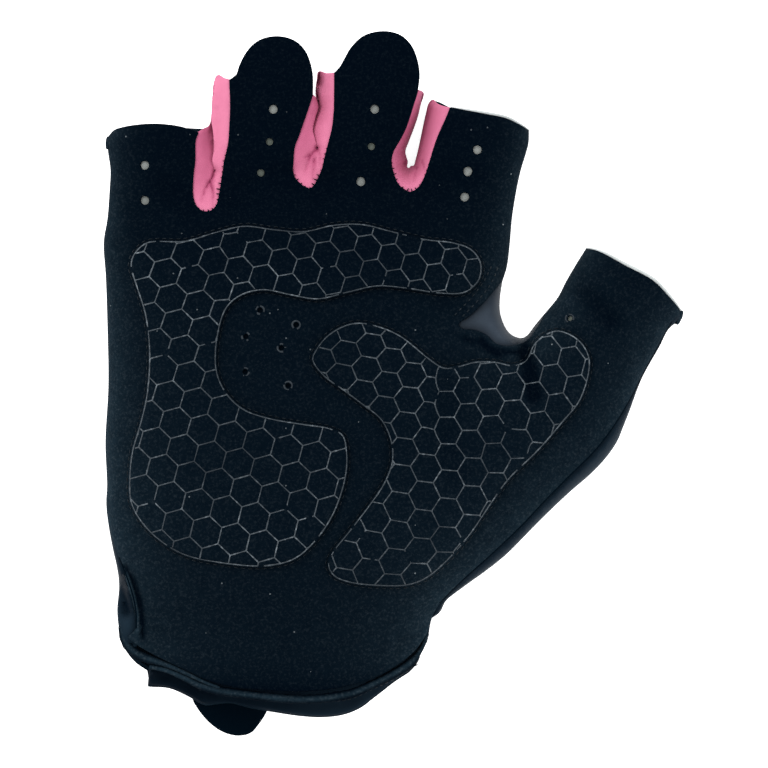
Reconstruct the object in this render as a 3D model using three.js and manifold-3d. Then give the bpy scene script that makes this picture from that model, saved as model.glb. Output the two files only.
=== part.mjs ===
// A fingerless weightlifting glove for the right hand, lying on its back with the palm up.
// +Y runs towards the fingers, +X towards the thumb and +Z up from the table, in millimetres.
// Each limb of the hand is a loft of flattened sections. The limbs are joined into one form, the same
// limbs one wall smaller hollow it, and the shell is cut along its seams into the sewn pieces.
import * as THREE from "three";
import { mergeVertices } from "three/addons/utils/BufferGeometryUtils.js";
import Module from "manifold-3d";

const wasm = await Module();
wasm.setup();

// Driving dimensions
const HAND_WIDTH = 100; // nominal width across the knuckles
const PALM_LENGTH = 100; // nominal length from the cuff to the lowest finger crotch
const PALM_DEPTH = 25; // height of the palm over the table
const FINGER_LENGTH = 25; // from the finger root line to the mean finger opening
const FINGER_DEPTH = 16.5; // height of a finger tube over the table
const THUMB_DEPTH = 20; // height of the thumb tube over the table
const SUEDE_WALL = 1.6; // palm suede with its lining
const LYCRA_WALL = 1.2; // stretch cloth of the back and of the finger walls
const SEAM_GAP = 0.3; // clearance between two sewn pieces
const SIDE_SEAM_HEIGHT = 8; // seam of palm and back along the hand's edge
const WALL_SEAM_HEIGHT = 4; // lower seam of the finger walls
const PAD_THICKNESS = 2; // foam grip pads
const TAB_RADIUS = 9.3; // round end of a pull tab
const FINGER_HOLE = 1.9; // punched air holes, diameter
const PALM_HOLE = 1.5;
const HEM_WIDTH = 2.6; // turned hem of the palm suede
const HEM_RISE = 0.6; // how far hem and cuff band stand proud of the cloth
const MOUTH_RUN = 12; // how far a hollow runs on past its mouth
const STRAP_WIDTH = 19;
const STRAP_THICKNESS = 1.8;

const FINGER_ROOT = 0.47 * PALM_LENGTH;
const STRAP_LIFT = STRAP_THICKNESS + HEM_RISE + SEAM_GAP; // the cuff rests on the strap

const SECTION_POINTS = 32; // corners of a palm section
const TUBE_POINTS = 20; // corners of a finger or thumb section
const ARCH = 2.35; // upper half of a section, as a superellipse's power
const SOLE = 3.4; // lower half, squarer where it lies on the table
const SAG = 1.08; // how much deeper the sole would hang if the table did not flatten it
const ROUND_STEPS = 12; // steps round a tab or the strap's end
const HOLE_SIDES = 8;
const REACH = 200; // longer than the glove, for cutting blocks

// The palm, from beyond the cuff to the finger crotches.
// y, left and right are shares of PALM_LENGTH and HAND_WIDTH, top and bottom of PALM_DEPTH, and lift is
// the share of STRAP_LIFT by which the section is raised.
const PALM_SECTIONS = [
  { y: -0.88, left: -0.53, right: -0.02, top: 0.56, bottom: 0, lift: 1 },
  { y: -0.78, left: -0.572, right: 0.012, top: 0.57, bottom: 0, lift: 1 },
  { y: -0.7, left: -0.61, right: 0.045, top: 0.58, bottom: 0, lift: 1 },
  { y: -0.625, left: -0.643, right: 0.077, top: 0.6, bottom: 0, lift: 1 },
  { y: -0.55, left: -0.66, right: 0.098, top: 0.65, bottom: 0, lift: 1 },
  { y: -0.48, left: -0.664, right: 0.172, top: 0.73, bottom: 0, lift: 1 },
  { y: -0.4, left: -0.672, right: 0.275, top: 0.82, bottom: 0, lift: 1 },
  { y: -0.32, left: -0.686, right: 0.352, top: 0.9, bottom: 0, lift: 0.4 },
  { y: -0.23, left: -0.69, right: 0.4, top: 0.96, bottom: 0, lift: 0 },
  { y: -0.12, left: -0.69, right: 0.375, top: 0.99, bottom: 0, lift: 0 },
  { y: 0.0, left: -0.686, right: 0.325, top: 1.0, bottom: 0, lift: 0 },
  { y: 0.09, left: -0.686, right: 0.335, top: 0.99, bottom: 0, lift: 0 },
  { y: 0.135, left: -0.687, right: 0.268, top: 0.97, bottom: 0, lift: 0 },
  { y: 0.2, left: -0.689, right: 0.257, top: 0.95, bottom: 0, lift: 0 },
  { y: 0.3, left: -0.695, right: 0.272, top: 0.88, bottom: 0, lift: 0 },
  { y: 0.38, left: -0.695, right: 0.284, top: 0.79, bottom: 0, lift: 0 },
  { y: 0.44, left: -0.688, right: 0.287, top: 0.7, bottom: 0.01, lift: 0 },
  { y: 0.48, left: -0.676, right: 0.284, top: 0.61, bottom: 0.04, lift: 0 },
  { y: 0.51, left: -0.655, right: 0.27, top: 0.5, bottom: 0.11, lift: 0 },
  { y: 0.525, left: -0.63, right: 0.25, top: 0.38, bottom: 0.2, lift: 0 },
];

// The thumb, from inside the palm to its mouth, by the two ends of each section in plan.
// Places are shares of HAND_WIDTH and PALM_LENGTH, top and bottom of THUMB_DEPTH.
const THUMB_SECTIONS = [
  { leftX: 0.02, leftY: -0.22, rightX: 0.12, rightY: -0.46, top: 0.7, bottom: 0.2 },
  { leftX: 0.08, leftY: -0.17, rightX: 0.24, rightY: -0.418, top: 0.92, bottom: 0.06 },
  { leftX: 0.145, leftY: -0.12, rightX: 0.36, rightY: -0.318, top: 1.06, bottom: 0 },
  { leftX: 0.21, leftY: -0.04, rightX: 0.459, rightY: -0.226, top: 1.1, bottom: 0 },
  { leftX: 0.27, leftY: 0.04, rightX: 0.526, rightY: -0.155, top: 1.07, bottom: 0 },
  { leftX: 0.322, leftY: 0.112, rightX: 0.562, rightY: -0.08, top: 1.03, bottom: 0 },
  { leftX: 0.367, leftY: 0.175, rightX: 0.592, rightY: -0.003, top: 1.0, bottom: 0 },
  { leftX: 0.418, leftY: 0.252, rightX: 0.635, rightY: 0.082, top: 0.97, bottom: 0.01 },
  { leftX: 0.464, leftY: 0.332, rightX: 0.686, rightY: 0.167, top: 0.94, bottom: 0.04 },
  { leftX: 0.487, leftY: 0.332, rightX: 0.671, rightY: 0.203, top: 0.94, bottom: 0.05 },
];

// The fingers, by their two sides in plan: x is a share of HAND_WIDTH, and y runs from the root line (0)
// as a share of FINGER_LENGTH. A tab carries the palm side on past the opening, round its own centre.
const FINGERS = {
  little: {
    sides: [
      { leftX: -0.655, leftY: -0.7, rightX: -0.47, rightY: -0.7 },
      { leftX: -0.686, leftY: -0.1, rightX: -0.446, rightY: -0.1 },
      { leftX: -0.68, leftY: 0.25, rightX: -0.434, rightY: 0.3 },
      { leftX: -0.684, leftY: 0.57, rightX: -0.432, rightY: 0.61 },
    ],
    holes: [
      { x: -0.595, y: 0.232 },
      { x: -0.595, y: -0.104 },
    ],
  },
  ring: {
    sides: [
      { leftX: -0.425, leftY: -0.7, rightX: -0.225, rightY: -0.7 },
      { leftX: -0.436, leftY: 0.05, rightX: -0.2, rightY: 0.05 },
      { leftX: -0.434, leftY: 0.55, rightX: -0.189, rightY: 0.5 },
      { leftX: -0.434, leftY: 1.07, rightX: -0.182, rightY: 0.9 },
    ],
    tab: { x: -0.277, y: 1.09, pastLeftX: -0.425, pastRightX: -0.155 },
    holes: [
      { x: -0.288, y: 0.768 },
      { x: -0.295, y: 0.452 },
      { x: -0.314, y: 0.156 },
    ],
  },
  middle: {
    sides: [
      { leftX: -0.185, leftY: -0.7, rightX: 0.0, rightY: -0.7 },
      { leftX: -0.202, leftY: 0.1, rightX: 0.026, rightY: 0.15 },
      { leftX: -0.191, leftY: 0.6, rightX: 0.036, rightY: 0.55 },
      { leftX: -0.184, leftY: 1.11, rightX: 0.071, rightY: 0.96 },
    ],
    tab: { x: -0.023, y: 1.132, pastLeftX: -0.165, pastRightX: 0.115 },
    holes: [
      { x: -0.043, y: 0.768 },
      { x: -0.055, y: 0.416 },
      { x: -0.077, y: 0.08 },
    ],
  },
  index: {
    sides: [
      { leftX: 0.055, leftY: -0.7, rightX: 0.255, rightY: -0.7 },
      { leftX: 0.05, leftY: 0.15, rightX: 0.291, rightY: 0.0 },
      { leftX: 0.066, leftY: 0.45, rightX: 0.306, rightY: 0.3 },
      { leftX: 0.086, leftY: 0.82, rightX: 0.33, rightY: 0.62 },
    ],
    holes: [
      { x: 0.202, y: 0.384 },
      { x: 0.18, y: 0.176 },
      { x: 0.173, y: -0.076 },
    ],
  },
};

// Heights at a finger's root and under the end of its tab, as shares of FINGER_DEPTH.
const FINGER_HEIGHTS = {
  root: { top: 0.8, bottom: 0.15 },
  tube: { top: 1, bottom: 0 },
  tab: { top: 0.9, bottom: -0.1 },
};

// The cloth walls between two fingers show in these slots of the palm suede. Each slot is given by its
// lowest point, its two bulging sides and its two upper ends, in the same shares as the fingers.
const FINGER_SLOTS = [
  {
    name: "finger_wall_little_ring",
    bottom: [-0.447, -0.21],
    sides: { left: [-0.479, 0.0], right: [-0.417, 0.0] },
    waist: { left: [-0.472, 0.45], right: [-0.392, 0.45] },
    ends: { left: [-0.46, 1.4], right: [-0.386, 1.4] },
  },
  {
    name: "finger_wall_ring_middle",
    bottom: [-0.206, 0.01],
    sides: { left: [-0.237, 0.22], right: [-0.172, 0.22] },
    waist: { left: [-0.223, 0.55], right: [-0.149, 0.55] },
    ends: { left: [-0.184, 1.4], right: [-0.14, 1.4] },
  },
  {
    name: "finger_wall_middle_index",
    bottom: [0.04, -0.02],
    sides: { left: [-0.002, 0.25], right: [0.082, 0.22] },
    waist: { left: [0.028, 0.6], right: [0.109, 0.55] },
    ends: { left: [0.075, 1.4], right: [0.15, 1.4] },
  },
];

// Outlines in plan from here on: shares of HAND_WIDTH and PALM_LENGTH.
// Where the suede stops short of the hand's edge, the stretch cloth of the back comes up to meet it.
const SUEDE_EDGE_THUMB = [
  [0.16, -0.475],
  [0.245, -0.4],
  [0.387, -0.262],
  [0.506, -0.135],
  [0.555, -0.05],
  [0.62, 0.06],
];
const SUEDE_EDGE_LITTLE = [
  [-0.7, -0.36],
  [-0.655, -0.42],
  [-0.63, -0.49],
  [-0.616, -0.55],
  [-0.61, -0.62],
  [-0.608, -0.68],
];
const CUFF_LINE = [
  [-0.74, -0.545],
  [-0.66, -0.6],
  [-0.56, -0.655],
  [-0.4, -0.712],
  [-0.22, -0.742],
  [-0.1, -0.732],
  [0.01, -0.68],
  [0.09, -0.605],
  [0.16, -0.5],
];
const BAND_LINE = [
  [-0.74, -0.56],
  [-0.655, -0.64],
  [-0.6, -0.712],
  [-0.49, -0.744],
  [-0.39, -0.766],
  [-0.22, -0.792],
  [-0.11, -0.787],
  [0.0, -0.712],
  [0.06, -0.66],
  [0.09, -0.6],
  [0.16, -0.5],
];
const THUMB_WEB = [
  [0.178, 0.142],
  [0.218, 0.168],
  [0.243, 0.22],
  [0.27, 0.255],
  [0.33, 0.255],
  [0.368, 0.19],
  [0.338, 0.112],
  [0.29, 0.093],
  [0.23, 0.11],
];
const PALM_PAD = [
  [-0.622, 0.318],
  [-0.585, 0.346],
  [-0.497, 0.35],
  [-0.355, 0.388],
  [-0.214, 0.374],
  [-0.073, 0.391],
  [0.068, 0.356],
  [0.18, 0.342],
  [0.215, 0.303],
  [0.209, 0.256],
  [0.175, 0.219],
  [0.056, 0.221],
  [-0.073, 0.23],
  [-0.191, 0.201],
  [-0.308, 0.226],
  [-0.385, 0.18],
  [-0.414, 0.057],
  [-0.372, -0.04],
  [-0.167, -0.094],
  [-0.106, -0.125],
  [-0.114, -0.25],
  [-0.179, -0.378],
  [-0.308, -0.431],
  [-0.473, -0.42],
  [-0.596, -0.343],
  [-0.632, -0.202],
  [-0.602, -0.061],
  [-0.588, 0.08],
  [-0.61, 0.212],
];
const THUMB_PAD = [
  [-0.196, 0.069],
  [-0.157, 0.128],
  [-0.076, 0.152],
  [-0.003, 0.133],
  [0.071, 0.078],
  [0.14, 0.036],
  [0.204, 0.06],
  [0.295, 0.064],
  [0.335, 0.098],
  [0.392, 0.124],
  [0.445, 0.09],
  [0.468, 0.028],
  [0.415, -0.074],
  [0.319, -0.179],
  [0.236, -0.276],
  [0.167, -0.368],
  [0.094, -0.45],
  [0.006, -0.482],
  [-0.108, -0.473],
  [-0.156, -0.434],
  [-0.122, -0.368],
  [-0.049, -0.257],
  [-0.006, -0.155],
  [-0.035, -0.083],
  [-0.108, -0.019],
];
const PALM_HOLES = [
  { x: -0.317, y: 0.182 },
  { x: -0.23, y: 0.146 },
  { x: -0.35, y: 0.118 },
  { x: -0.266, y: 0.091 },
  { x: -0.353, y: 0.034 },
  { x: -0.247, y: 0.0 },
  { x: 0.422, y: 0.158 },
];

// Folds of the empty glove: a groove along a line in plan, its half width as a share of HAND_WIDTH and
// its depth as a share of PALM_DEPTH.
const FOLDS = [
  { from: [0.43, 0.15], to: [0.385, -0.02], width: 0.035, depth: 0.1 },
  { from: [0.25, 0.11], to: [0.1, -0.04], width: 0.06, depth: 0.07 },
  { from: [-0.65, -0.48], to: [-0.63, -0.62], width: 0.03, depth: 0.1 },
  { from: [-0.447, 0.46], to: [-0.43, 0.3], width: 0.04, depth: 0.06 },
  { from: [-0.206, 0.5], to: [-0.2, 0.33], width: 0.04, depth: 0.06 },
  { from: [0.04, 0.5], to: [0.02, 0.33], width: 0.04, depth: 0.06 },
];

// The strap's middle line in plan, from its sewn end at the thumb side to its round free end.
const STRAP_LINE = [
  [0.03, -0.51],
  [-0.28, -0.51],
  [-0.395, -0.752],
];

// A closed three.js geometry as a solid.
function solid(geometry) {
  const bare = geometry.clone();
  bare.deleteAttribute("normal");
  bare.deleteAttribute("uv");
  const merged = mergeVertices(bare, 1e-4);
  return new wasm.Manifold(
    new wasm.Mesh({
      numProp: 3,
      vertProperties: merged.attributes.position.array,
      triVerts: new Uint32Array(merged.index.array),
    }),
  );
}

// A place in plan from its shares of the hand's width and the palm's length.
const inPlan = ([x, y]) => new THREE.Vector2(x * HAND_WIDTH, y * PALM_LENGTH);

// A place on the fingers, whose y is counted from their root line.
const onFinger = (x, y) => new THREE.Vector2(x * HAND_WIDTH, FINGER_ROOT + y * FINGER_LENGTH);

// How deep the folds sink the palm's upper face at a place.
function foldDepth(x, y) {
  const place = new THREE.Vector3(x, y, 0);
  const nearest = new THREE.Vector3();
  let depth = 0;
  for (const fold of FOLDS) {
    const [start, end] = [inPlan(fold.from), inPlan(fold.to)];
    const line = new THREE.Line3(new THREE.Vector3(start.x, start.y, 0), new THREE.Vector3(end.x, end.y, 0));
    line.closestPointToPoint(place, true, nearest);
    const away = nearest.distanceTo(place) / (fold.width * HAND_WIDTH);
    depth += fold.depth * PALM_DEPTH * Math.exp(-away * away);
  }
  return depth;
}

// One section: a superellipse from its left end to its right end in plan, arched above, squarer below and
// flattened by the table. grow moves the wall outwards, or inwards when negative.
function sectionRing({ left, right, top, bottom }, grow, count) {
  const middle = left.clone().add(right).divideScalar(2);
  const half = right.clone().sub(left).divideScalar(2);
  half.setLength(half.length() + grow);
  const centre = (top + bottom) / 2;
  const rise = (top - bottom) / 2 + grow;
  const ring = [];
  for (let i = 0; i < count; i++) {
    const angle = (2 * Math.PI * i) / count;
    const [across, up] = [Math.cos(angle), Math.sin(angle)];
    const power = 2 / (up >= 0 ? ARCH : SOLE);
    const [x, y] = middle
      .clone()
      .addScaledVector(half, Math.sign(across) * Math.abs(across) ** power)
      .toArray();
    const lifted = centre + Math.sign(up) * Math.abs(up) ** power * rise * (up < 0 ? SAG : 1);
    const sunk = up > 0 ? foldDepth(x, y) * up : 0;
    ring.push(new THREE.Vector3(x, y, Math.max(lifted - sunk, bottom - grow)));
  }
  return ring;
}

// A closed skin over a row of rings, with a fan over each end.
function loft(rings) {
  const count = rings[0].length;
  const centreOf = (ring) =>
    ring.reduce((sum, p) => sum.add(p), new THREE.Vector3()).divideScalar(ring.length);
  const points = [...rings.flat(), centreOf(rings[0]), centreOf(rings.at(-1))];
  const [startCentre, endCentre] = [points.length - 2, points.length - 1];
  const last = (rings.length - 1) * count;
  const faces = [];
  for (let i = 0; i < count; i++) {
    const next = (i + 1) % count;
    for (let row = 0; row < last; row += count) {
      faces.push(row + i, row + next, row + count + next, row + i, row + count + next, row + count + i);
    }
    faces.push(startCentre, next, i, endCentre, last + i, last + next);
  }
  const geometry = new THREE.BufferGeometry().setFromPoints(points).setIndex(faces);
  const made = solid(geometry);
  if (made.volume() > 0) return made;
  return solid(geometry.setIndex(faces.slice().reverse()));
}

// A limb from its sections. past adds one more section beyond the mouth, so that a hollow opens there.
function limb(sections, grow, count, past = 0) {
  const rows = [...sections];
  if (past) {
    const [before, mouth] = [rows.at(-2), rows.at(-1)];
    const onward = mouth.left.clone().add(mouth.right).sub(before.left).sub(before.right).setLength(past);
    rows.push({ ...mouth, left: mouth.left.clone().add(onward), right: mouth.right.clone().add(onward) });
  }
  return loft(rows.map((row) => sectionRing(row, grow, count)));
}

const palmSections = PALM_SECTIONS.map(({ y, left, right, top, bottom, lift }) => ({
  left: inPlan([left, y]),
  right: inPlan([right, y]),
  top: top * PALM_DEPTH + lift * STRAP_LIFT,
  bottom: bottom * PALM_DEPTH + lift * STRAP_LIFT,
}));

const thumbSections = THUMB_SECTIONS.map((row) => ({
  left: inPlan([row.leftX, row.leftY]),
  right: inPlan([row.rightX, row.rightY]),
  top: row.top * THUMB_DEPTH,
  bottom: row.bottom * THUMB_DEPTH,
}));

// A finger's sections. withTab carries the ring and middle fingers on under their pull tabs.
function fingerSections({ sides, tab }, withTab) {
  const section = (left, right, { top, bottom }) => ({
    left,
    right,
    top: top * FINGER_DEPTH,
    bottom: bottom * FINGER_DEPTH,
  });
  const rows = sides.map(({ leftX, leftY, rightX, rightY }, i) => {
    const heights = i === 0 ? FINGER_HEIGHTS.root : FINGER_HEIGHTS.tube;
    return section(onFinger(leftX, leftY), onFinger(rightX, rightY), heights);
  });
  if (withTab && tab) {
    const pastTab = new THREE.Vector2(0, 2 * TAB_RADIUS);
    const left = onFinger(tab.pastLeftX, tab.y).add(pastTab);
    const right = onFinger(tab.pastRightX, tab.y).add(pastTab);
    rows.push(section(left, right, FINGER_HEIGHTS.tab));
  }
  return rows;
}

// The whole hand form: every wall moved by grow. Hollows run on past each mouth.
function hand(grow, { withTabs = false, hollow = false } = {}) {
  const past = hollow ? MOUTH_RUN : 0;
  const crotch = palmSections.slice(0, -1);
  const blunt = hollow ? crotch : palmSections;
  let form = limb(blunt, grow, SECTION_POINTS);
  form = form.add(limb(thumbSections, grow, TUBE_POINTS, past));
  for (const finger of Object.values(FINGERS)) {
    form = form.add(limb(fingerSections(finger, withTabs), grow, TUBE_POINTS, past));
  }
  return form;
}

// A block of the given plan outline between two heights.
function block(outline, low, high) {
  const geometry = new THREE.ExtrudeGeometry(new THREE.Shape(outline), {
    depth: high - low,
    bevelEnabled: false,
  });
  return solid(geometry.translate(0, 0, low));
}

// A smooth closed outline through its points.
function roundOutline(points, perSpan = 3) {
  const knots = points.map((p) => new THREE.Vector3(p.x, p.y, 0));
  const curve = new THREE.CatmullRomCurve3(knots, true, "centripetal");
  const steps = points.length * perSpan;
  return Array.from({ length: steps }, (_, i) => {
    const { x, y } = curve.getPoint(i / steps);
    return new THREE.Vector2(x, y);
  });
}

// The same outline moved outwards by a distance, or inwards when it is negative.
function offsetOutline(outline, distance) {
  const turn = THREE.ShapeUtils.isClockWise(outline) ? 1 : -1;
  return outline.map((point, i) => {
    const before = outline[(i + outline.length - 1) % outline.length];
    const after = outline[(i + 1) % outline.length];
    const along = after.clone().sub(before).normalize();
    return new THREE.Vector2(point.x - turn * along.y * distance, point.y + turn * along.x * distance);
  });
}

// An open smooth line through its points.
const smoothLine = (points, steps) => new THREE.SplineCurve(points.map(inPlan)).getPoints(steps);

// The slot that shows the cloth wall between two fingers, open past the finger tips.
function slotOutline({ bottom, sides, waist, ends }) {
  const knots = [ends.left, waist.left, sides.left, bottom, sides.right, waist.right, ends.right];
  return new THREE.SplineCurve(knots.map(([x, y]) => onFinger(x, y))).getPoints(4 * (knots.length - 1));
}

const lowered = (line, distance) => line.map((p) => new THREE.Vector2(p.x, p.y - distance));
const cuffLine = smoothLine(CUFF_LINE, 20);
const bandLine = smoothLine(BAND_LINE, 24);

// Everything above a line across the wrist, in plan.
const aboveLine = (line) => [
  ...line,
  new THREE.Vector2(REACH, line.at(-1).y),
  new THREE.Vector2(REACH, REACH),
  new THREE.Vector2(-REACH, REACH),
  new THREE.Vector2(-REACH, line[0].y),
];

// Up from a finger's right mouth corner, round its pull tab and down to its left mouth corner.
function tabOutline({ sides, tab }) {
  const mouth = sides.at(-1);
  const [left, right] = [onFinger(mouth.leftX, mouth.leftY), onFinger(mouth.rightX, mouth.rightY)];
  const centre = onFinger(tab.x, tab.y);
  const outline = [right, new THREE.Vector2(centre.x + TAB_RADIUS, right.y)];
  for (let step = 0; step <= ROUND_STEPS; step++) {
    const angle = (Math.PI * step) / ROUND_STEPS;
    const spoke = new THREE.Vector2(Math.cos(angle), Math.sin(angle)).multiplyScalar(TAB_RADIUS);
    outline.push(spoke.add(centre));
  }
  outline.push(new THREE.Vector2(centre.x - TAB_RADIUS, left.y), left);
  return outline;
}

// The suede's plan: up both edges of the hand, along the finger openings and round the pull tabs.
function suedeOutline() {
  const littleEdge = smoothLine(SUEDE_EDGE_LITTLE, 8);
  const thumbEdge = smoothLine(SUEDE_EDGE_THUMB, 12);
  const indexMouth = FINGERS.index.sides.at(-1);
  const littleMouth = FINGERS.little.sides.at(-1);
  const indexCorner = onFinger(indexMouth.leftX, indexMouth.leftY);
  const littleCorner = onFinger(littleMouth.rightX, littleMouth.rightY);
  return [
    ...littleEdge,
    new THREE.Vector2(littleEdge.at(-1).x, -REACH),
    new THREE.Vector2(thumbEdge[0].x, -REACH),
    ...thumbEdge,
    new THREE.Vector2(REACH, indexCorner.y),
    indexCorner,
    ...tabOutline(FINGERS.middle),
    ...tabOutline(FINGERS.ring),
    littleCorner,
    new THREE.Vector2(-REACH, littleCorner.y),
    new THREE.Vector2(-REACH, littleEdge[0].y),
  ];
}

// Round air holes through the suede.
function airHoles() {
  const fingerHoles = Object.values(FINGERS).flatMap(({ holes }) =>
    holes.map(({ x, y }) => [onFinger(x, y), FINGER_HOLE]),
  );
  const palmHoles = PALM_HOLES.map(({ x, y }) => [inPlan([x, y]), PALM_HOLE]);
  return [...fingerHoles, ...palmHoles].map(([place, width]) => {
    const drill = new THREE.CylinderGeometry(width / 2, width / 2, REACH, HOLE_SIDES).rotateX(Math.PI / 2);
    return solid(drill.translate(place.x, place.y, REACH / 2 + SIDE_SEAM_HEIGHT));
  });
}

const half = SEAM_GAP / 2;

// The cloth that fills an outline, and the slightly larger room that its neighbours leave for it.
function inset(name, outline) {
  return {
    name,
    cloth: block(offsetOutline(outline, -half), WALL_SEAM_HEIGHT + half, REACH),
    room: block(offsetOutline(outline, half), WALL_SEAM_HEIGHT - half, REACH),
  };
}

const insets = [
  ...FINGER_SLOTS.map((slot) => inset(slot.name, slotOutline(slot))),
  inset("thumb_web", roundOutline(THUMB_WEB.map(inPlan))),
];
const aboveCuff = block(aboveLine(cuffLine), -REACH, REACH);
const pastCuff = block(aboveLine(lowered(cuffLine, SEAM_GAP)), -REACH, REACH);

const suedeShell = hand(0, { withTabs: true }).subtract(hand(-SUEDE_WALL, { withTabs: true, hollow: true }));
const lycraShell = hand(0).subtract(hand(-LYCRA_WALL, { hollow: true }));

function palmPanel() {
  const suedePlan = block(suedeOutline(), SIDE_SEAM_HEIGHT + half, REACH);
  let panel = suedeShell.intersect(suedePlan).intersect(aboveCuff);
  for (const { room } of insets) panel = panel.subtract(room);
  for (const hole of airHoles()) panel = panel.subtract(hole);
  return panel;
}

function backPanel() {
  const suedeRoom = block(offsetOutline(suedeOutline(), SEAM_GAP), SIDE_SEAM_HEIGHT - half, REACH);
  let panel = lycraShell.subtract(suedeRoom).intersect(aboveCuff);
  for (const { room } of insets) panel = panel.subtract(room);
  return panel;
}

function gripPad(outline) {
  const raised = hand(SEAM_GAP + PAD_THICKNESS).subtract(hand(SEAM_GAP));
  const plan = block(roundOutline(outline.map(inPlan)), SIDE_SEAM_HEIGHT + PAD_THICKNESS, REACH);
  return raised.intersect(plan);
}

// The turned edge that goes round the wrist, as far as the given line and between two heights.
function cuffEdge(wall, line, low, high) {
  const edge = hand(HEM_RISE).subtract(hand(-wall, { hollow: true })).subtract(pastCuff);
  return edge.intersect(block(aboveLine(line), low, high));
}

function wristStrap() {
  const line = new THREE.QuadraticBezierCurve(...STRAP_LINE.map(inPlan));
  const side = (share, sign) => {
    const along = line.getTangent(share);
    const across = new THREE.Vector2(-along.y, along.x).multiplyScalar((sign * STRAP_WIDTH) / 2);
    return line.getPoint(share).add(across);
  };
  const outline = [];
  for (let step = 0; step <= ROUND_STEPS; step++) outline.push(side(step / ROUND_STEPS, 1));
  const [end, along] = [line.getPoint(1), line.getTangent(1)];
  const startAngle = Math.atan2(along.x, -along.y);
  for (let step = 1; step < ROUND_STEPS; step++) {
    const angle = startAngle - (Math.PI * step) / ROUND_STEPS;
    const spoke = new THREE.Vector2(Math.cos(angle), Math.sin(angle)).multiplyScalar(STRAP_WIDTH / 2);
    outline.push(spoke.add(end));
  }
  for (let step = ROUND_STEPS; step >= 0; step--) outline.push(side(step / ROUND_STEPS, -1));
  return block(outline, 0, STRAP_THICKNESS);
}

const suede = new THREE.MeshStandardMaterial({ color: 0x0d1317, roughness: 0.95 });
const lycra = new THREE.MeshStandardMaterial({ color: 0x181c22, roughness: 0.5 });
const pinkLycra = new THREE.MeshStandardMaterial({ color: 0xd9709b, roughness: 0.7 });
const gripPrint = new THREE.MeshStandardMaterial({ color: 0x12181d, roughness: 0.85 });
const webLeather = new THREE.MeshStandardMaterial({ color: 0x2a3138, roughness: 0.6 });
const strapCloth = new THREE.MeshStandardMaterial({ color: 0x07090b, roughness: 0.75 });

const glove = new THREE.Group();

// A seam cut can leave loose crumbs beside a piece, so a piece is the largest body of its form.
function addPiece(name, form, material) {
  const [piece] = form.decompose().sort((a, b) => b.volume() - a.volume());
  const { vertProperties, triVerts, numProp, numVert } = piece.getMesh();
  const positions = new Float32Array(numVert * 3);
  for (let i = 0; i < numVert; i++) {
    const [x, y, z] = vertProperties.subarray(i * numProp, i * numProp + 3);
    positions.set([x, y, z], i * 3);
  }
  const geometry = new THREE.BufferGeometry();
  geometry.setAttribute("position", new THREE.BufferAttribute(positions, 3));
  geometry.setIndex(new THREE.BufferAttribute(triVerts, 1));
  geometry.computeVertexNormals();
  const mesh = new THREE.Mesh(geometry, material);
  mesh.name = name;
  glove.add(mesh);
}

addPiece("palm_panel", palmPanel(), suede);
addPiece("back_panel", backPanel(), lycra);
for (const { name, cloth } of insets) {
  addPiece(name, lycraShell.intersect(cloth), name === "thumb_web" ? webLeather : pinkLycra);
}
addPiece("palm_pad", gripPad(PALM_PAD), gripPrint);
addPiece("thumb_pad", gripPad(THUMB_PAD), gripPrint);
const wristSeam = SIDE_SEAM_HEIGHT + STRAP_LIFT;
const hemEnd = lowered(cuffLine, SEAM_GAP + HEM_WIDTH);
addPiece("palm_hem", cuffEdge(SUEDE_WALL, hemEnd, wristSeam + half, REACH), suede);
addPiece("cuff_band", cuffEdge(LYCRA_WALL, bandLine, -REACH, wristSeam - half), lycra);
addPiece("wrist_strap", wristStrap(), strapCloth);

// The glove stands on the origin, centred under its box.
const extent = new THREE.Box3().setFromObject(glove);
const centre = extent.getCenter(new THREE.Vector3());
glove.position.set(-centre.x, -centre.y, -extent.min.z);

export default glove;
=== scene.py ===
import math

import bmesh
import bpy
import numpy as np
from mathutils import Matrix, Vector, geometry, noise
from mathutils.bvhtree import BVHTree


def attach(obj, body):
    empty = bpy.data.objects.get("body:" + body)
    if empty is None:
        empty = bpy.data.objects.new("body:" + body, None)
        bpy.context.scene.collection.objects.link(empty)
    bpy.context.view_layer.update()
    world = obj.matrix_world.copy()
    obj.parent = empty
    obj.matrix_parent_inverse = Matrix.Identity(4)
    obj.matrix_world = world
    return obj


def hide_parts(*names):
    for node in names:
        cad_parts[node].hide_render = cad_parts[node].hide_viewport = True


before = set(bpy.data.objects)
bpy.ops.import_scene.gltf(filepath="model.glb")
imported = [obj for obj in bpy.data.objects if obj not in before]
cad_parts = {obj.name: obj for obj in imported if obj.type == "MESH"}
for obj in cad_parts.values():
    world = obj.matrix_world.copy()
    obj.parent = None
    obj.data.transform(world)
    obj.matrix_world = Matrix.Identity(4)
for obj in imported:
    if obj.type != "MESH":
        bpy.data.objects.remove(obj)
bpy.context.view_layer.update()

# A fingerless weightlifting glove for the right hand, which lies on its back with the palm up.

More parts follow.
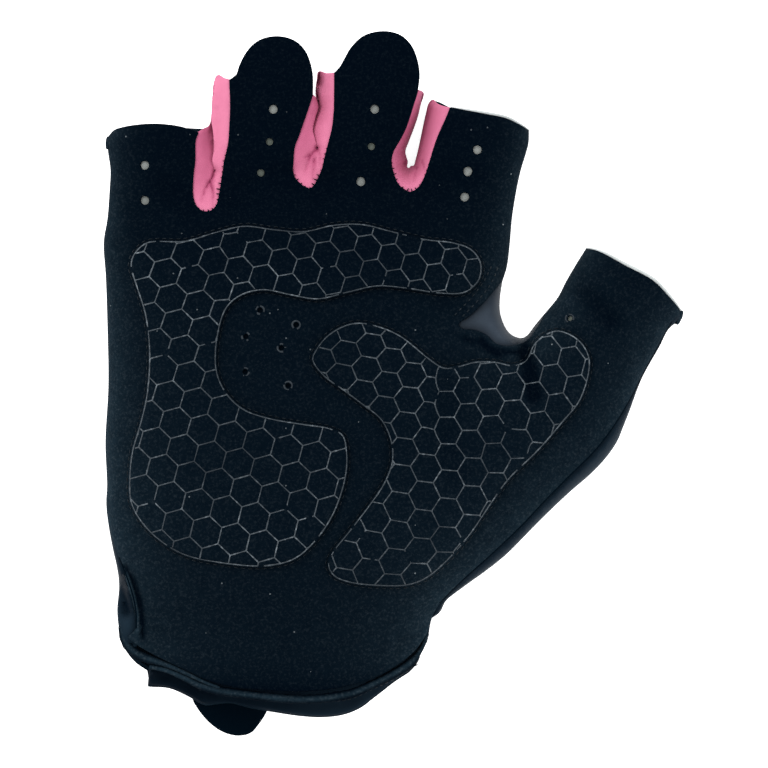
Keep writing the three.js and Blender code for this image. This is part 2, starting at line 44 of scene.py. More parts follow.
# Sizes are in millimetres and plan places in the pattern's own coordinates: +x towards the thumb and
# +y towards the fingers. The frame's origin lies at PATTERN_ORIGIN.
MM = 0.001
PATTERN_ORIGIN = np.array([-0.45, -0.035])
SUEDE_WALL = 1.2
LYCRA_WALL = 1.1
GAP_WALL = 0.9
BAND_WALL = 1.4
SIDE_SEAM_HEIGHT = 8.0
WALL_SEAM_HEIGHT = 4.0
STRAP_THICKNESS = 1.8
STRAP_LIFT = 2.7
STRAP_CLIMB_START = -45
STRAP_CLIMB_LENGTH = 14
SIDE_ROUND = 3.2
SOLE_ROUND = 6.0
PAD_RISE = 1.9
PAD_ROUND = 2.4
PAD_SEAT = 0.2
LIT_HOLE = 2.5
SHADED_HOLE = 2.1
PALM_HOLE = 1.5
TUCK = 1.2
PARTING_HALF = 0.05
PHOTO_WIDTH = 184.3
PHOTO_MIDDLE = np.array([-2.16, 0.48])
CLOTH_HEIGHT = 10

# The hand's edge in plan, walked clockwise from the cuff's left corner.
LITTLE_SIDE = [
    (-59, -68.2), (-61.8, -66.3), (-64.2, -63.3), (-65.5, -59.5), (-66.2, -54), (-65.8, -48),
    (-66.2, -44.2), (-67.2, -39.5), (-68.4, -33), (-68.9, -28), (-68.7, -24), (-69.1, -13.4),
    (-68.4, 0), (-68.6, 14), (-69, 26), (-69.5, 34.6), (-68.6, 40.3), (-68.1, 47), (-67.9, 52),
    (-68.5, 56.5), (-68.6, 59.6), (-67.2, 61.4),
]
INDEX_SIDE = [
    (32.7, 61.3), (32.6, 58.5), (31.9, 55.7), (30.7, 51.8), (29.5, 46.1), (28.6, 40.3), (28.1, 34.6),
    (27.4, 28.8), (26.3, 25.2),
]
THUMB_CROTCH = [
    (26.3, 25.2), (25.7, 21.1), (25.8, 17.3), (27.4, 13.4), (29, 12), (31, 11.5), (32.3, 12.2),
    (34, 14.4), (36.6, 17.6),
]
THUMB_INNER = [(36.6, 17.6), (39.6, 21.3), (41.5, 25), (43.7, 28.8), (46.3, 33)]
THUMB_MOUTH = [(46.3, 33), (49.5, 32), (55, 28.9), (62.2, 25), (66, 21.3), (69.3, 17.6)]
THUMB_OUTER = [
    (69.3, 17.6), (68.3, 15.6), (66, 13.4), (64.1, 9.6), (61.9, 5.8), (59.8, 1.9), (58.3, -1.9),
    (56.9, -5.8), (55.4, -9.6), (53.8, -13.4), (51.1, -17.3), (47.5, -21.1), (43, -25), (38.9, -28.8),
    (35, -32.6), (31.2, -36.5), (27.4, -40.3), (22.6, -44.2), (17.3, -48), (12.5, -51.8),
    (11.7, -53.6), (10.6, -54.9), (9.4, -55.6), (8.9, -57.5), (8.6, -59.5),
]

# The suede's own edges where it stops short of the hand's edge. At the little finger's side it does
# so below SUEDE_LEAVES_SIDE. The back shows there down to LITTLE_RISE_END, and the cuff's band begins
# at BAND_START.
SUEDE_LEAVES_SIDE = -33
BAND_START = -61
LITTLE_RISE_END = -64
SUEDE_THUMB_EDGE = [
    (69.3, 17.6), (66.8, 15.4), (64.2, 10.6), (60.6, 4), (57.5, -2), (53.1, -9.2), (48.4, -15.3),
    (42.3, -21.4), (36.4, -27.4), (30.6, -33.6), (24, -39.9), (16.4, -46.8), (11.2, -52),
    (9, -56.2), (8.2, -59.3),
]
SUEDE_LITTLE_EDGE = [
    (-63.6, -60.3), (-61.5, -58), (-61.5, -54.5), (-62.2, -50.5), (-63.6, -46), (-65.6, -41),
    (-68.4, -33),
]
CUFF_RIDGE = [(-63.7, -45.4), (-62, -50.5), (-61.2, -54.7), (-61, -59)]
CUFF_CREASE = [(-64, -43.5), (-62.4, -46.4), (-61.1, -50.7), (-60.3, -55), (-60.1, -60)]
HEM_LINE = [
    (8.2, -59.3), (5.4, -63.2), (0.9, -66.7), (-4.8, -69.8), (-13.2, -72.1), (-21.8, -72.9),
    (-30.2, -72.6), (-38.7, -71.7), (-44.4, -70.2), (-50.1, -67.6), (-55.7, -65), (-60.8, -62.3),
    (-63.6, -60.3),
]
BAND_LINE = [
    (8.6, -59.5), (7, -63.4), (5.3, -67.2), (0.2, -71), (-4.8, -74.9), (-8, -77.3), (-12, -78.9),
    (-17, -79.5), (-22.3, -79.2), (-29, -78.2), (-34.2, -77.3), (-39, -76.1), (-42.3, -76.3),
    (-45.2, -76.6), (-49, -74.6), (-53.5, -72.6), (-58.9, -71.9),
]
BAND_END = [(-58.9, -71.9), (-58.7, -70), (-59, -68.2)]
ROLL_LINE = [
    (-58.4, -67.2), (-54, -68.2), (-50.1, -69.8), (-46.1, -71.7), (-41, -73), (-35.9, -73.7),
    (-30.2, -74.4), (-24.6, -74.9), (-18.9, -74.9), (-13.3, -74.3), (-9.3, -73.4), (-4.8, -71.4),
    (0.9, -68.5), (5.2, -65.3), (7.4, -61.8), (8.2, -59.4),
]
FOLD_ROLL_LINE = [
    (-65.2, -57.5), (-64.5, -60.4), (-62.9, -63), (-60, -64.9), (-56.5, -66), (-53.5, -67),
    (-49, -69), (-45, -70.9), (-41.5, -72.2),
]
LITTLE_MOUTH = [(-67.2, 61.4), (-63, 62.2), (-57, 62.6), (-51, 62), (-46.7, 60.7)]
RING_TAB = [
    (-39, 73.3), (-37.4, 74.5), (-36.6, 76.8), (-34.5, 80.5), (-31.7, 82.8), (-27.6, 83.6),
    (-23.6, 82.6), (-21.2, 80.4), (-19.9, 77.5), (-19.3, 74.4), (-19.3, 69.8),
]
MIDDLE_TAB = [
    (-13.9, 75), (-12.7, 76.2), (-11.5, 78.3), (-9.9, 81), (-6.8, 83.8), (-2.1, 84.8), (1.8, 83.9),
    (4.4, 81.4), (5.8, 78), (6.3, 74.5), (5.9, 70.9),
]
INDEX_MOUTH = [(13.8, 66.6), (17.5, 65.8), (22.3, 64.9), (27.5, 63.8), (32.7, 61.3)]

# The back's first two slits between fingers, and its free edges at the four mouths.
BACK_SLITS = [
    [
        (-44.2, 61.6), (-43.9, 57), (-43.7, 53), (-43.3, 51.2), (-42.8, 50.6), (-42.4, 51.2),
        (-42.3, 53), (-42.4, 58), (-42.7, 64), (-42.7, 69), (-42.3, 73.4),
    ],
    [
        (-18.7, 69.4), (-19, 65), (-19.4, 61.3), (-19.1, 58.6), (-18.5, 56.8), (-18, 56.4),
        (-17.7, 57), (-17.9, 59.5), (-18.2, 62), (-17.7, 66), (-17.6, 71), (-17.4, 75),
    ],
]
BACK_MOUTHS = [
    LITTLE_MOUTH[:-1] + [(-44.2, 61.6)],
    [(-42.3, 73.4), (-31, 73), (-18.7, 69.4)],
    [(-17.4, 75), (-6, 74), (7.3, 70.5)],
    [(9.6, 68.8), (17.5, 65.2), (27.5, 63.4), (32.7, 61.3)],
]
STRAP_OUTLINE = [
    (-48.4, -75.2), (-47.2, -77.6), (-44.4, -81), (-41, -83.4), (-37.3, -84.3), (-34.2, -83.6),
    (-32.4, -81.6), (-30.4, -78.4), (-29.4, -74), (-29.2, -69), (-27.6, -64.4), (-23.4, -61.4),
    (-16, -60.5), (-6, -60.5), (3, -60.5), (3.2, -51), (3, -41.5), (-8, -41.5), (-19, -41.8), (-28, -44),
    (-36.5, -49), (-42.6, -56), (-46.6, -64), (-48.4, -70.5),
]

# Rows of stitches away from the pads, and the lumps where the side seams end: start, end and width.
WEB_STITCH_ROWS = [
    [(25.2, 28.6), (23.6, 24.8), (20.4, 20.6), (16.2, 16.2)],
    [(23.6, 28.8), (21.8, 25.2), (18.6, 21), (14.6, 16.8)],
]
HEM_STITCH_ROW = [(-25, -75.9), (-18.9, -75.9), (-11, -75.5), (-4.8, -72.9), (0.9, -70.1), (6, -66.7)]
SEAM_ENDS = [((69.2, 18.2), (68, 14.8), 1.7), ((-68.2, 59.9), (-68.5, 56.8), 1.4)]

# The pink cloth of each gap between two fingers, left side first: the suede's edge, the cloth's free
# rim back to the start, the line where the two sides meet and turn down, and the folds at its foot.
# Tones are the painted light of the left and the right side, one side lit more than the other,
# shades how much painted shade darkens each towards the meeting line, and falls the share of the
# way down that each goes there. In an open gap the sides stay apart. WALL_AREAS are the cloths'
# areas in square metres.
FINGER_GAPS = [
    {
        "node": "finger_wall_little_ring",
        "edge": [
            (-46.7, 60.7), (-47.4, 58.8), (-47.5, 54), (-47.9, 50.6), (-48.1, 47), (-47.9, 44.7),
            (-47.1, 42.9), (-45.5, 41.7), (-43.8, 41.7), (-42.3, 42.9), (-41.5, 45.4), (-40.9, 49.5),
            (-40.2, 54), (-39.3, 58), (-39, 62), (-38.8, 67), (-39, 73.3),
        ],
        "rim": [
            (-39, 73.3), (-40.4, 73.7), (-41.8, 74.5), (-42.6, 73.8), (-43.1, 72), (-43.3, 68),
            (-43.6, 64), (-44.2, 62.3), (-45.4, 61.6), (-46.7, 60.7),
        ],
        "meeting": [
            (-42.6, 73.8), (-43.1, 72), (-43.3, 68), (-43.6, 64), (-43.1, 60.5), (-43, 56.3),
            (-43.3, 54), (-42.7, 51.6),
        ],
        "heel": (-42.8, 51),
        "folds": [
            {"path": [(-42.7, 51.6), (-43.6, 49.4), (-44.7, 47.6), (-45.9, 44.4)], "depth": 1.0},
            {"path": [(-43.9, 48.9), (-43.1, 46.6), (-43.1, 43)], "depth": 0.7},
        ],
        "painted_light_tones": (0.4, 0.95),
        "shades": (0.12, 0.05),
        "falls": (0.8, 0.3),
        "open": False,
    },
    {
        "node": "finger_wall_ring_middle",
        "edge": [
            (-19.3, 69.8), (-20.5, 66.2), (-21.6, 63), (-22.6, 60.2), (-23.7, 57.2), (-24, 54),
            (-24.1, 51.6), (-23.7, 50), (-22.7, 48.7), (-21.2, 47.6), (-19.8, 47.2), (-18.8, 47.9),
            (-17.8, 49.8), (-16.9, 51.8), (-16.2, 54.7), (-15.2, 58.6), (-14.4, 61.9), (-14, 66),
            (-13.9, 71), (-13.9, 75),
        ],
        "rim": [
            (-13.9, 75), (-15.8, 74.9), (-17.8, 75.5), (-18.2, 73.4), (-18.5, 71.2), (-18.3, 69),
            (-17.5, 67.9), (-18.6, 69.2), (-19.3, 69.8),
        ],
        "meeting": [
            (-17.9, 75.3), (-18.2, 73.4), (-18.5, 71.2), (-18.2, 68.6), (-17.9, 66.8), (-18.6, 64.3),
            (-19.2, 61.3), (-18.7, 59.2), (-18.2, 57.1),
        ],
        "heel": (-18.3, 57),
        "folds": [
            {"path": [(-18.2, 57.1), (-19.2, 55.8), (-21.1, 54.6)], "depth": 0.9},
            {"path": [(-19.8, 55.3), (-20.4, 53.2), (-21, 51.2)], "depth": 0.7},
            {"path": [(-18.9, 54.4), (-19.1, 51.6), (-19.2, 49.2)], "depth": 0.7},
            {"path": [(-18.2, 57.1), (-17.6, 55.2), (-17.6, 52.8)], "depth": 0.8},
        ],
        "painted_light_tones": (0.38, 0.9),
        "shades": (0.0, 0.5),
        "falls": (0.3, 0.8),
        "open": False,
    },
    {
        "node": "finger_wall_middle_index",
        "edge": [
            (5.9, 70.9), (4.9, 67.7), (4, 64.8), (3, 61.9), (1.8, 59.4), (0.6, 57.4), (-0.2, 55.8),
            (-0.5, 54), (-0.3, 52), (0.3, 49.9), (1.2, 48.2), (2.6, 47), (4.2, 46.3), (5.9, 47.2),
            (7.2, 49), (8.1, 51.2), (9, 54), (9.9, 57), (10.9, 59.8), (12.1, 62.5), (13.2, 65),
            (13.8, 66.6),
        ],
        "rim": [
            (13.8, 66.6), (12, 67), (10.6, 67.7), (9.6, 68.8), (8.6, 67.8), (8.1, 66), (7.4, 62.9),
            (6.7, 59.5), (6.1, 56.7), (5.5, 54.4), (5, 52.9), (4.4, 52.9), (3.8, 52.3), (3.3, 52.8),
            (3.5, 53.9), (3.2, 54.9), (2.9, 56.4), (3.8, 59), (4.9, 61.9), (5.9, 64.8), (6.6, 67.7),
            (7.3, 70.5), (5.9, 70.9),
        ],
        "meeting": [
            (9.6, 68.8), (8.6, 67.8), (8.1, 66), (7.4, 62.9), (6.7, 59.5), (6.1, 56.7), (5.5, 54.4),
            (5, 52.9), (4.4, 52.9), (3.8, 52.3), (3.3, 52.8), (3.5, 53.9), (3.2, 54.9), (2.9, 56.4),
            (3.8, 59), (4.9, 61.9), (5.9, 64.8), (6.6, 67.7), (7.3, 70.5),
        ],
        "heel": (4.4, 52.5),
        "folds": [
            {"path": [(5.6, 52.4), (5.3, 50.9), (5, 49.2)], "depth": 0.6},
            {"path": [(7, 54), (7.5, 52.2), (8, 50.4)], "depth": 0.6},
            {"path": [(3.2, 54.4), (2.7, 52.8)], "depth": 0.8},
        ],
        "painted_light_tones": (0.4, 0.75),
        "shades": (0.1, 0.6),
        "falls": (1.0, 1.0),
        "open": True,
    },
]
WALL_AREAS = [0.00055, 0.00055, 0.0006]
WEB_EDGE = [
    (26.3, 25.2), (23.9, 22.4), (21.3, 19.6), (18.4, 17), (15.6, 14.9), (16.3, 13.7), (19.6, 13.3),
    (22.4, 12.2), (24.6, 10.1), (27.2, 9.5), (29.8, 9.9), (32.2, 11), (34.4, 13.9), (36.6, 17.6),
]

PALM_PAD = [
    (-62.4, 31.6), (-59, 34.7), (-49.7, 35.1), (-42.5, 37.2), (-35.5, 38.7), (-28.6, 37.9),
    (-21.4, 37.4), (-14.4, 38.9), (-7.4, 39.1), (-0.2, 37.4), (7.9, 35.5), (14.5, 34.7), (19, 33),
    (21.4, 29.6), (21, 25.2), (17.4, 21.9), (11.5, 21.6), (3.1, 22.8), (-3.8, 23.3), (-10.8, 21.8),
    (-18, 20.2), (-24.5, 21.2), (-31, 22.4), (-36, 21.2), (-39.4, 18.2), (-41.6, 10), (-41.5, 3.4),
    (-39.2, -1.6), (-35.2, -5.2), (-29, -7.3), (-21.4, -8.6), (-14.8, -9.7), (-11.6, -11.4),
    (-10.6, -15), (-10.6, -20.2), (-12, -26.2), (-14.6, -32.2), (-18.4, -37.5), (-23.4, -41.7),
    (-30.5, -43.4), (-41.5, -42.6), (-49.7, -40.8), (-55.6, -37.5), (-60.4, -32.8), (-63, -28),
    (-63.4, -22.6), (-62.8, -16), (-60.8, -9), (-59.2, -2), (-58.6, 8), (-59.6, 17), (-61.8, 24),
    (-63.1, 28.6),
]
THUMB_PAD = [
    (-19.7, 6.2), (-18.6, 9.1), (-15.6, 12.6), (-11.2, 15), (-7.4, 15.5), (-2.6, 14.4), (2.2, 12.2),
    (9.1, 6.7), (12.2, 4.8), (14.9, 5), (19.5, 6.2), (24.5, 6.2), (28.6, 5.4), (31.4, 6.4),
    (33.3, 10.2), (36.2, 12.7), (39.3, 13.7), (42.8, 12.6), (45.6, 10.3), (47.3, 6.7), (47, 2.2),
    (44.9, -3.8), (40.8, -8.9), (35, -15.6), (27.8, -22.7), (23.3, -29), (18.5, -36),
    (12.7, -42.5), (7.9, -46.4), (3.4, -48), (-3.8, -48.1), (-10, -47.4), (-14.2, -45.8),
    (-15.9, -43), (-14.9, -39.6), (-10.8, -34.3), (-6.2, -28.3), (-2.6, -23), (-0.7, -17.8),
    (-1, -13.2), (-3.2, -8.4), (-7.6, -4.8), (-12.4, -1.2), (-17, 2.2),
]
LIT_HOLES = [
    (-59.5, 52.8), (-59.5, 44.4), (-28.6, 66.2), (-4.3, 66.2), (-7.7, 49), (20.2, 56.5), (17.9, 51.3),
    (17.2, 45.2),
]
SHADED_HOLES = [(-29.5, 58.4), (-31.6, 50.9), (-5.1, 57.3)]
PALM_HOLES = [
    (-31.7, 18.1), (-23.1, 14.6), (-35.1, 11.8), (-26.6, 9.1), (-35.3, 3.4), (-25, 0.1),
]
THUMB_HOLES = [(42.2, 16.2)]

# The printed honeycombs, each over its own part of a pad (lowest x and y, highest x and y): one cell's
# steps across and along, a cell's middle, and how far the cloth bends the rows BEND_REACH away from
# the part's middle (x2, xy and y2). A part's honeycomb fades out over COMB_BLEND round it. CELL_REACH
# is the number of cells to each side, and SIDE_SAMPLES that of the points along one side of a cell.
BEND_REACH = 30
COMB_BLEND = 4.0
CELL_REACH = 13
SIDE_SAMPLES = 9
PALM_COMB = {
    "part": (-80, -60, 10, 60),
    "across": (6.73, 1.76),
    "along": (-1.54, 6.22),
    "cell": (-25.3, 8.37),
    "middle": (-28, 6.4),
    "bend": [(0.07, 0.11), (-0.06, -0.21), (0.78, -0.7)],
}
ARM_COMB = {
    "part": (-39, 15, 40, 60),
    "across": (5.81, 0.96),
    "along": (-1.27, 6.1),
    "cell": (-16, 31.4),
    "middle": (-12, 29.5),
    "bend": [(-1.08, -0.66), (0.22, 0.23), (-2.14, -4.47)],
}
THUMB_COMB = {
    "part": (-40, -60, 60, 40),
    "across": (6.29, -0.55),
    "along": (0.52, 6.23),
    "cell": (14.57, -4.24),
    "middle": (10.3, -9.35),
    "bend": [(-0.97, 2.72), (-2.24, 1.0), (1.02, -2.3)],
}
FOLD_COMB = {
    "part": (11, -14, 31.9, 20),
    "across": (6, 0.4),
    "along": (-0.36, 6.32),
    "cell": (23.08, -3.9),
    "middle": (21, -3),
    "bend": [(1.49, 2.78), (-3.21, 3.55), (1.12, -1.71)],
}
TIP_COMB = {
    "part": (31.9, -11, 60, 20),
    "across": (5.79, 0.96),
    "along": (-1.33, 6.87),
    "cell": (38.27, 1.58),
    "middle": (40, 3),
    "bend": [(-0.25, -0.31), (-0.05, 0.46), (-1.05, -1.54)],
}
HEEL_COMB = {
    "part": (-20, -60, 30, -34),
    "across": (6.65, -0.75),
    "along": (0.7, 6.31),
    "cell": (1.17, -35.68),
    "middle": (2, -38),
    "bend": [(0.18, 2.96), (-0.86, -6.44), (-3.56, 6.13)],
}

# Dents of the empty glove along plan paths, with their half width and depth. A negative depth is a
# ridge. Shade is how much painted shade darkens the suede in it; a negative shade is a painted
# highlight.
DENTS = [
    {"path": [(31.4, 11), (32.2, 6), (33, 1), (33.5, -2)], "width": 1.5, "depth": 1.7, "shade": 0.4},
    {"path": [(44.5, 23.3), (48.1, 19.7), (52.3, 15.4)], "width": 2.6, "depth": 0.8, "shade": 0.08},
    {"path": [(41, 20), (43.6, 17.6)], "width": 1.4, "depth": -0.4, "shade": -0.06},
    {"path": [(14, -1), (13, -12), (15.5, -22)], "width": 3.4, "depth": 0.7, "shade": 0.03},
    {"path": [(-38.5, 45.6), (-30.8, 49.6), (-24.5, 50.5)], "width": 2.6, "depth": 0.9},
    {"path": [(-17.4, 48), (-10, 50.5), (-2, 50)], "width": 2.6, "depth": 0.9},
    {"path": [(8.5, 48), (14.5, 51), (20, 50)], "width": 2.4, "depth": 0.6},
    {"path": [(-48.5, 43), (-55, 47)], "width": 2.6, "depth": 0.5},
    {"path": CUFF_CREASE, "width": 0.7, "depth": 1.1},
    {"path": CUFF_RIDGE, "width": 0.7, "depth": -0.7},
    {"path": [(17.5, 18.4), (11, 20.2)], "width": 1.8, "depth": 0.4},
    {"path": [(21, 11.2), (24, 8.6), (30, 8)], "width": 0.7, "depth": 0.5, "shade": 0.25},
    {"path": [(17, 11.5), (21, 9.6), (26, 7)], "width": 0.6, "depth": 0.4, "shade": 0.2},
    {"path": [(1.5, -63), (6.5, -58.5), (9, -54.5)], "width": 1.0, "depth": 0.7},
    {"path": [(3.5, -59.8), (7.6, -55.6)], "width": 0.8, "depth": -0.7},
    {"path": [(-66, 49), (-60, 36)], "width": 3.0, "depth": 0.3},
    {"path": [(55, 6), (50, -2)], "width": 3.2, "depth": 0.3},
]
LITTLE_SIDE_DENTS = [
    {"path": [(-64.8, -46), (-64.2, -51), (-63.8, -54)], "width": 1.3, "depth": 2.6},
    {"path": [(-63.4, -57), (-63.2, -57.6)], "width": 1.3, "depth": -0.8},
]


# Curves and distances in plan


def smooth(points, step=1.0, closed=False):
    """Even steps along a centripetal Catmull-Rom curve through the points."""
    knots = np.array(points, float)
    if closed:
        knots = np.vstack([knots[-1], knots, knots[0], knots[1]])
    else:
        knots = np.vstack([2 * knots[0] - knots[1], knots, 2 * knots[-1] - knots[-2]])
    dense = []
    for p0, p1, p2, p3 in zip(knots, knots[1:], knots[2:], knots[3:]):
        t1 = np.linalg.norm(p1 - p0) ** 0.5
        t2 = t1 + np.linalg.norm(p2 - p1) ** 0.5
        t3 = t2 + np.linalg.norm(p3 - p2) ** 0.5
        t = np.linspace(t1, t2, 12, endpoint=False)[:, None]
        a1 = (t1 - t) / t1 * p0 + t / t1 * p1
        a2 = (t2 - t) / (t2 - t1) * p1 + (t - t1) / (t2 - t1) * p2
        a3 = (t3 - t) / (t3 - t2) * p2 + (t - t2) / (t3 - t2) * p3
        b1 = (t2 - t) / t2 * a1 + t / t2 * a2
        b2 = (t3 - t) / (t3 - t1) * a2 + (t - t1) / (t3 - t1) * a3
        dense.append((t2 - t) / (t2 - t1) * b1 + (t - t1) / (t2 - t1) * b2)
    dense = np.vstack(dense + [knots[-2][None]])
    return even_steps(dense, step, closed)


def even_steps(path, step, closed=False):
    """The same path in equal steps of about the given length; a closed one drops its repeated end."""
    along = arc_length(path)
    count = max(2, int(round(along[-1] / step)))
    places = np.linspace(0, along[-1], count + 1)
    even = np.column_stack([np.interp(places, along, path[:, k]) for k in range(path.shape[1])])
    return even[:-1] if closed else even


def arc_length(path):
    return np.concatenate([[0], np.cumsum(np.linalg.norm(np.diff(path, axis=0), axis=1))])


def chain(*paths):
    """Joins open paths end to end into one closed outline, without doubled corners."""
    return np.vstack([path[:-1] for path in paths])


def distance(places, path, closed=False):
    """How far each place is from a path in plan."""
    start = path if closed else path[:-1]
    end = np.roll(path, -1, axis=0) if closed else path[1:]
    run = end - start
    best = np.full(len(places), np.inf)
    for p, r in zip(start, run):
        share = np.clip(((places - p) @ r) / max(r @ r, 1e-9), 0, 1)
        best = np.minimum(best, np.linalg.norm(places - p - share[:, None] * r, axis=1))
    return best


def inside(places, outline):
    """Which places lie inside a closed outline."""
    x, y = places[:, 0], places[:, 1]
    odd = np.zeros(len(places), bool)
    for (x0, y0), (x1, y1) in zip(outline, np.roll(outline, -1, axis=0)):
        if y0 != y1:
            crossing = (y0 > y) != (y1 > y)
            odd ^= crossing & (x < (x1 - x0) * (y - y0) / (y1 - y0) + x0)
    return odd


def left_normals(path, closed=False):
    """Unit normals to the left of the walking direction."""
    if closed:
        along = np.roll(path, -1, axis=0) - np.roll(path, 1, axis=0)
    else:
        along = np.gradient(path, axis=0)
    along /= np.maximum(np.linalg.norm(along, axis=1), 1e-9)[:, None]
    return np.column_stack([-along[:, 1], along[:, 0]])


def circle(centre, diameter, count=20):
    turn = np.linspace(0, 2 * np.pi, count, endpoint=False)
    return np.array(centre) + diameter / 2 * np.column_stack([np.cos(turn), np.sin(turn)])


def rise(depth, radius, power=2.4):
    """A rounded edge: 0 at the edge and 1 from the given radius inwards."""
    short = 1 - np.clip(depth / radius, 0, 1)
    return (1 - short**power) ** (1 / power)


def ease(share):
    share = np.clip(share, 0, 1)
    return share * share * (3 - 2 * share)


def swell(away, width):
    """A bell over a distance: 1 at none, and small from twice the width on."""
    return np.exp(-((away / width) ** 2))


def wander(places, scale, seed, octaves=3):
    """Smooth noise over the plan, about -1 to 1, with features of the given size."""
    flat = np.column_stack([places, np.zeros(len(places))])
    offset = Vector((seed * 17.3, seed * 5.1, seed * 9.7))
    return np.array([noise.fractal(Vector(p / scale) + offset, 1.0, 2.0, octaves) for p in flat])


# The glove's heights, read from the CAD pieces


def blurred(grid, sigma):
    """A grid smoothed by a bell of the given width in cells."""
    reach = int(3 * sigma) + 1
    bell = np.exp(-0.5 * (np.arange(-reach, reach + 1) / sigma) ** 2)
    bell /= bell.sum()
    for axis in (0, 1):
        grid = np.apply_along_axis(np.convolve, axis, grid, bell, mode="same")
    return grid


class Relief:
    """Smoothed heights of the outside of some CAD nodes over the plan."""

    STEP = 0.8
    LOW = np.array([-80.0, -96.0])
    SIZE = (200, 232)

    def __init__(self, nodes, from_above, lowest, highest):
        corners, faces = [], []
        for name in nodes:
            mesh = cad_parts[name].data
            base = len(corners)
            corners += [v.co / MM for v in mesh.vertices]
            faces += [tuple(base + i for i in p.vertices) for p in mesh.polygons]
        tree = BVHTree.FromPolygons(corners, faces)
        start, down = (100.0, Vector((0, 0, -1))) if from_above else (-100.0, Vector((0, 0, 1)))
        heights = np.zeros(self.SIZE)
        seen = np.zeros(self.SIZE)
        for i in range(self.SIZE[0]):
            for j in range(self.SIZE[1]):
                x, y = self.LOW + self.STEP * np.array([i, j]) - PATTERN_ORIGIN
                hit = tree.ray_cast(Vector((x, y, start)), down)[0]
                if hit is not None and lowest < hit.z < highest:
                    heights[i, j] = hit.z
                    seen[i, j] = 1
        near, far = 2.2 / self.STEP, 9.0 / self.STEP
        weight = blurred(seen, near)
        wide = blurred(heights, far) / np.maximum(blurred(seen, far), 1e-6)
        self.grid = np.where(weight > 0.05, blurred(heights, near) / np.maximum(weight, 1e-6), wide)

    def __call__(self, places):
        at = np.clip((places - self.LOW) / self.STEP, 0, np.array(self.SIZE) - 1.001)
        cell = at.astype(int)
        share = at - cell
        i, j = cell[:, 0], cell[:, 1]
        u, v = share[:, 0], share[:, 1]
        grid = self.grid
        return (
            grid[i, j] * (1 - u) * (1 - v)
            + grid[i + 1, j] * u * (1 - v)
            + grid[i, j + 1] * (1 - u) * v
            + grid[i + 1, j + 1] * u * v
        )


TOP_NODES = ["palm_panel", "back_panel", "palm_hem", "thumb_web"]
upper_relief = Relief(TOP_NODES, True, SIDE_SEAM_HEIGHT - 0.5, 40)
lower_relief = Relief(["back_panel", "cuff_band"], False, -1, SIDE_SEAM_HEIGHT)
band_relief = Relief(["cuff_band"], True, 1, 40)

SIDE_LINES = [
    smooth(LITTLE_SIDE),
    smooth(INDEX_SIDE + THUMB_CROTCH[1:] + THUMB_INNER[1:]),
    smooth(THUMB_OUTER + BAND_LINE[1:3]),
]


def side_distance(places):
    """How far each place is from the hand's edge."""
    return np.min([distance(places, line) for line in SIDE_LINES], axis=0)


def seam_height(places):
    """The side seam climbs where the cuff rests on the strap."""
    return SIDE_SEAM_HEIGHT + STRAP_LIFT * ease((STRAP_CLIMB_START - places[:, 1]) / STRAP_CLIMB_LENGTH)


def dent_depth(places, dents):
    depth = np.zeros(len(places))
    for dent in dents:
        away = distance(places, np.array(dent["path"], float))
        depth += dent["depth"] * swell(away, dent["width"])
    return depth


def full_height(places):
    """The top of the hand, without the fall to its sides."""
    return np.maximum(upper_relief(places), seam_height(places) + 1) - dent_depth(places, DENTS)


def suede_height(places):
    """The outside of the suede, with its fine wrinkles."""
    low = seam_height(places)
    z = low + (full_height(places) - low) * rise(side_distance(places), SIDE_ROUND)
    return z + 0.14 * wander(places, 14, 1) + 0.04 * wander(places, 3.5, 2)


def sole_height(places):
    """The outside of the back, which the table flattens."""
    floor = np.maximum(lower_relief(places), 0)
    floor = np.where(floor < 0.5, 0, floor)
    seam = seam_height(places) - 0.2
    return seam + (floor - seam) * rise(side_distance(places), SOLE_ROUND)


# Meshes


def plan_sheet(outline, holes=(), step=1.1, rings=(0.3, 0.8, 1.5, 2.4), seed=3, parting=None):
    """Fills an outline in plan with even triangles, denser along its edges.

    A parting is a line along which the sheet's height may step.
    """
    loops = [outline, *holes]
    fixed = np.vstack(loops)
    edges = []
    base = 0
    for loop in loops:
        count = len(loop)
        edges += [(base + i, base + (i + 1) % count) for i in range(count)]
        base += count
    low, high = outline.min(0), outline.max(0)
    rows = np.arange(low[1], high[1], step * math.sqrt(0.75))
    lattice = [
        (x, y)
        for k, y in enumerate(rows)
        for x in np.arange(low[0] + (k % 2) * step / 2, high[0], step)
    ]
    lattice = np.array(lattice) + np.random.default_rng(seed).uniform(-0.12, 0.12, (len(lattice), 2))

    def depth_of(places):
        return np.min([distance(places, loop, closed=True) for loop in loops], axis=0)

    def within(places):
        keep = inside(places, outline)
        for hole in holes:
            keep &= ~inside(places, hole)
        return keep

    lattice = lattice[within(lattice)]
    fill = [lattice[depth_of(lattice) > rings[-1] + 0.6 * step]]
    for ring in rings:
        for loop, inward in zip(loops, [1] + [-1] * len(holes)):
            if inward < 0 and ring > 1:
                continue
            turn = 1 if signed_area(loop) > 0 else -1
            places = loop + left_normals(loop, closed=True) * ring * turn * inward
            places = places[within(places)]
            if len(places):
                fill.append(places[depth_of(places) > 0.96 * ring])
    if parting is not None:
        fill = [places[distance(places, parting) > 0.3] for places in fill]
        banks = np.vstack([parting + left_normals(parting) * PARTING_HALF * side for side in (-1, 1)])
        fill.append(banks[within(banks) & (depth_of(banks) > PARTING_HALF)])
    every = np.vstack([fixed, *fill])
    made = geometry.delaunay_2d_cdt([Vector(p) for p in every], edges, [], 2, 1e-6)
    places = np.array([tuple(v) for v in made[0]])
    faces = [f if signed_area(places[list(f)]) > 0 else f[::-1] for f in (tuple(f) for f in made[2])]
    kept = within(np.array([places[list(f)].mean(0) for f in faces]))
    return places, [f for f, keep in zip(faces, kept) if keep]


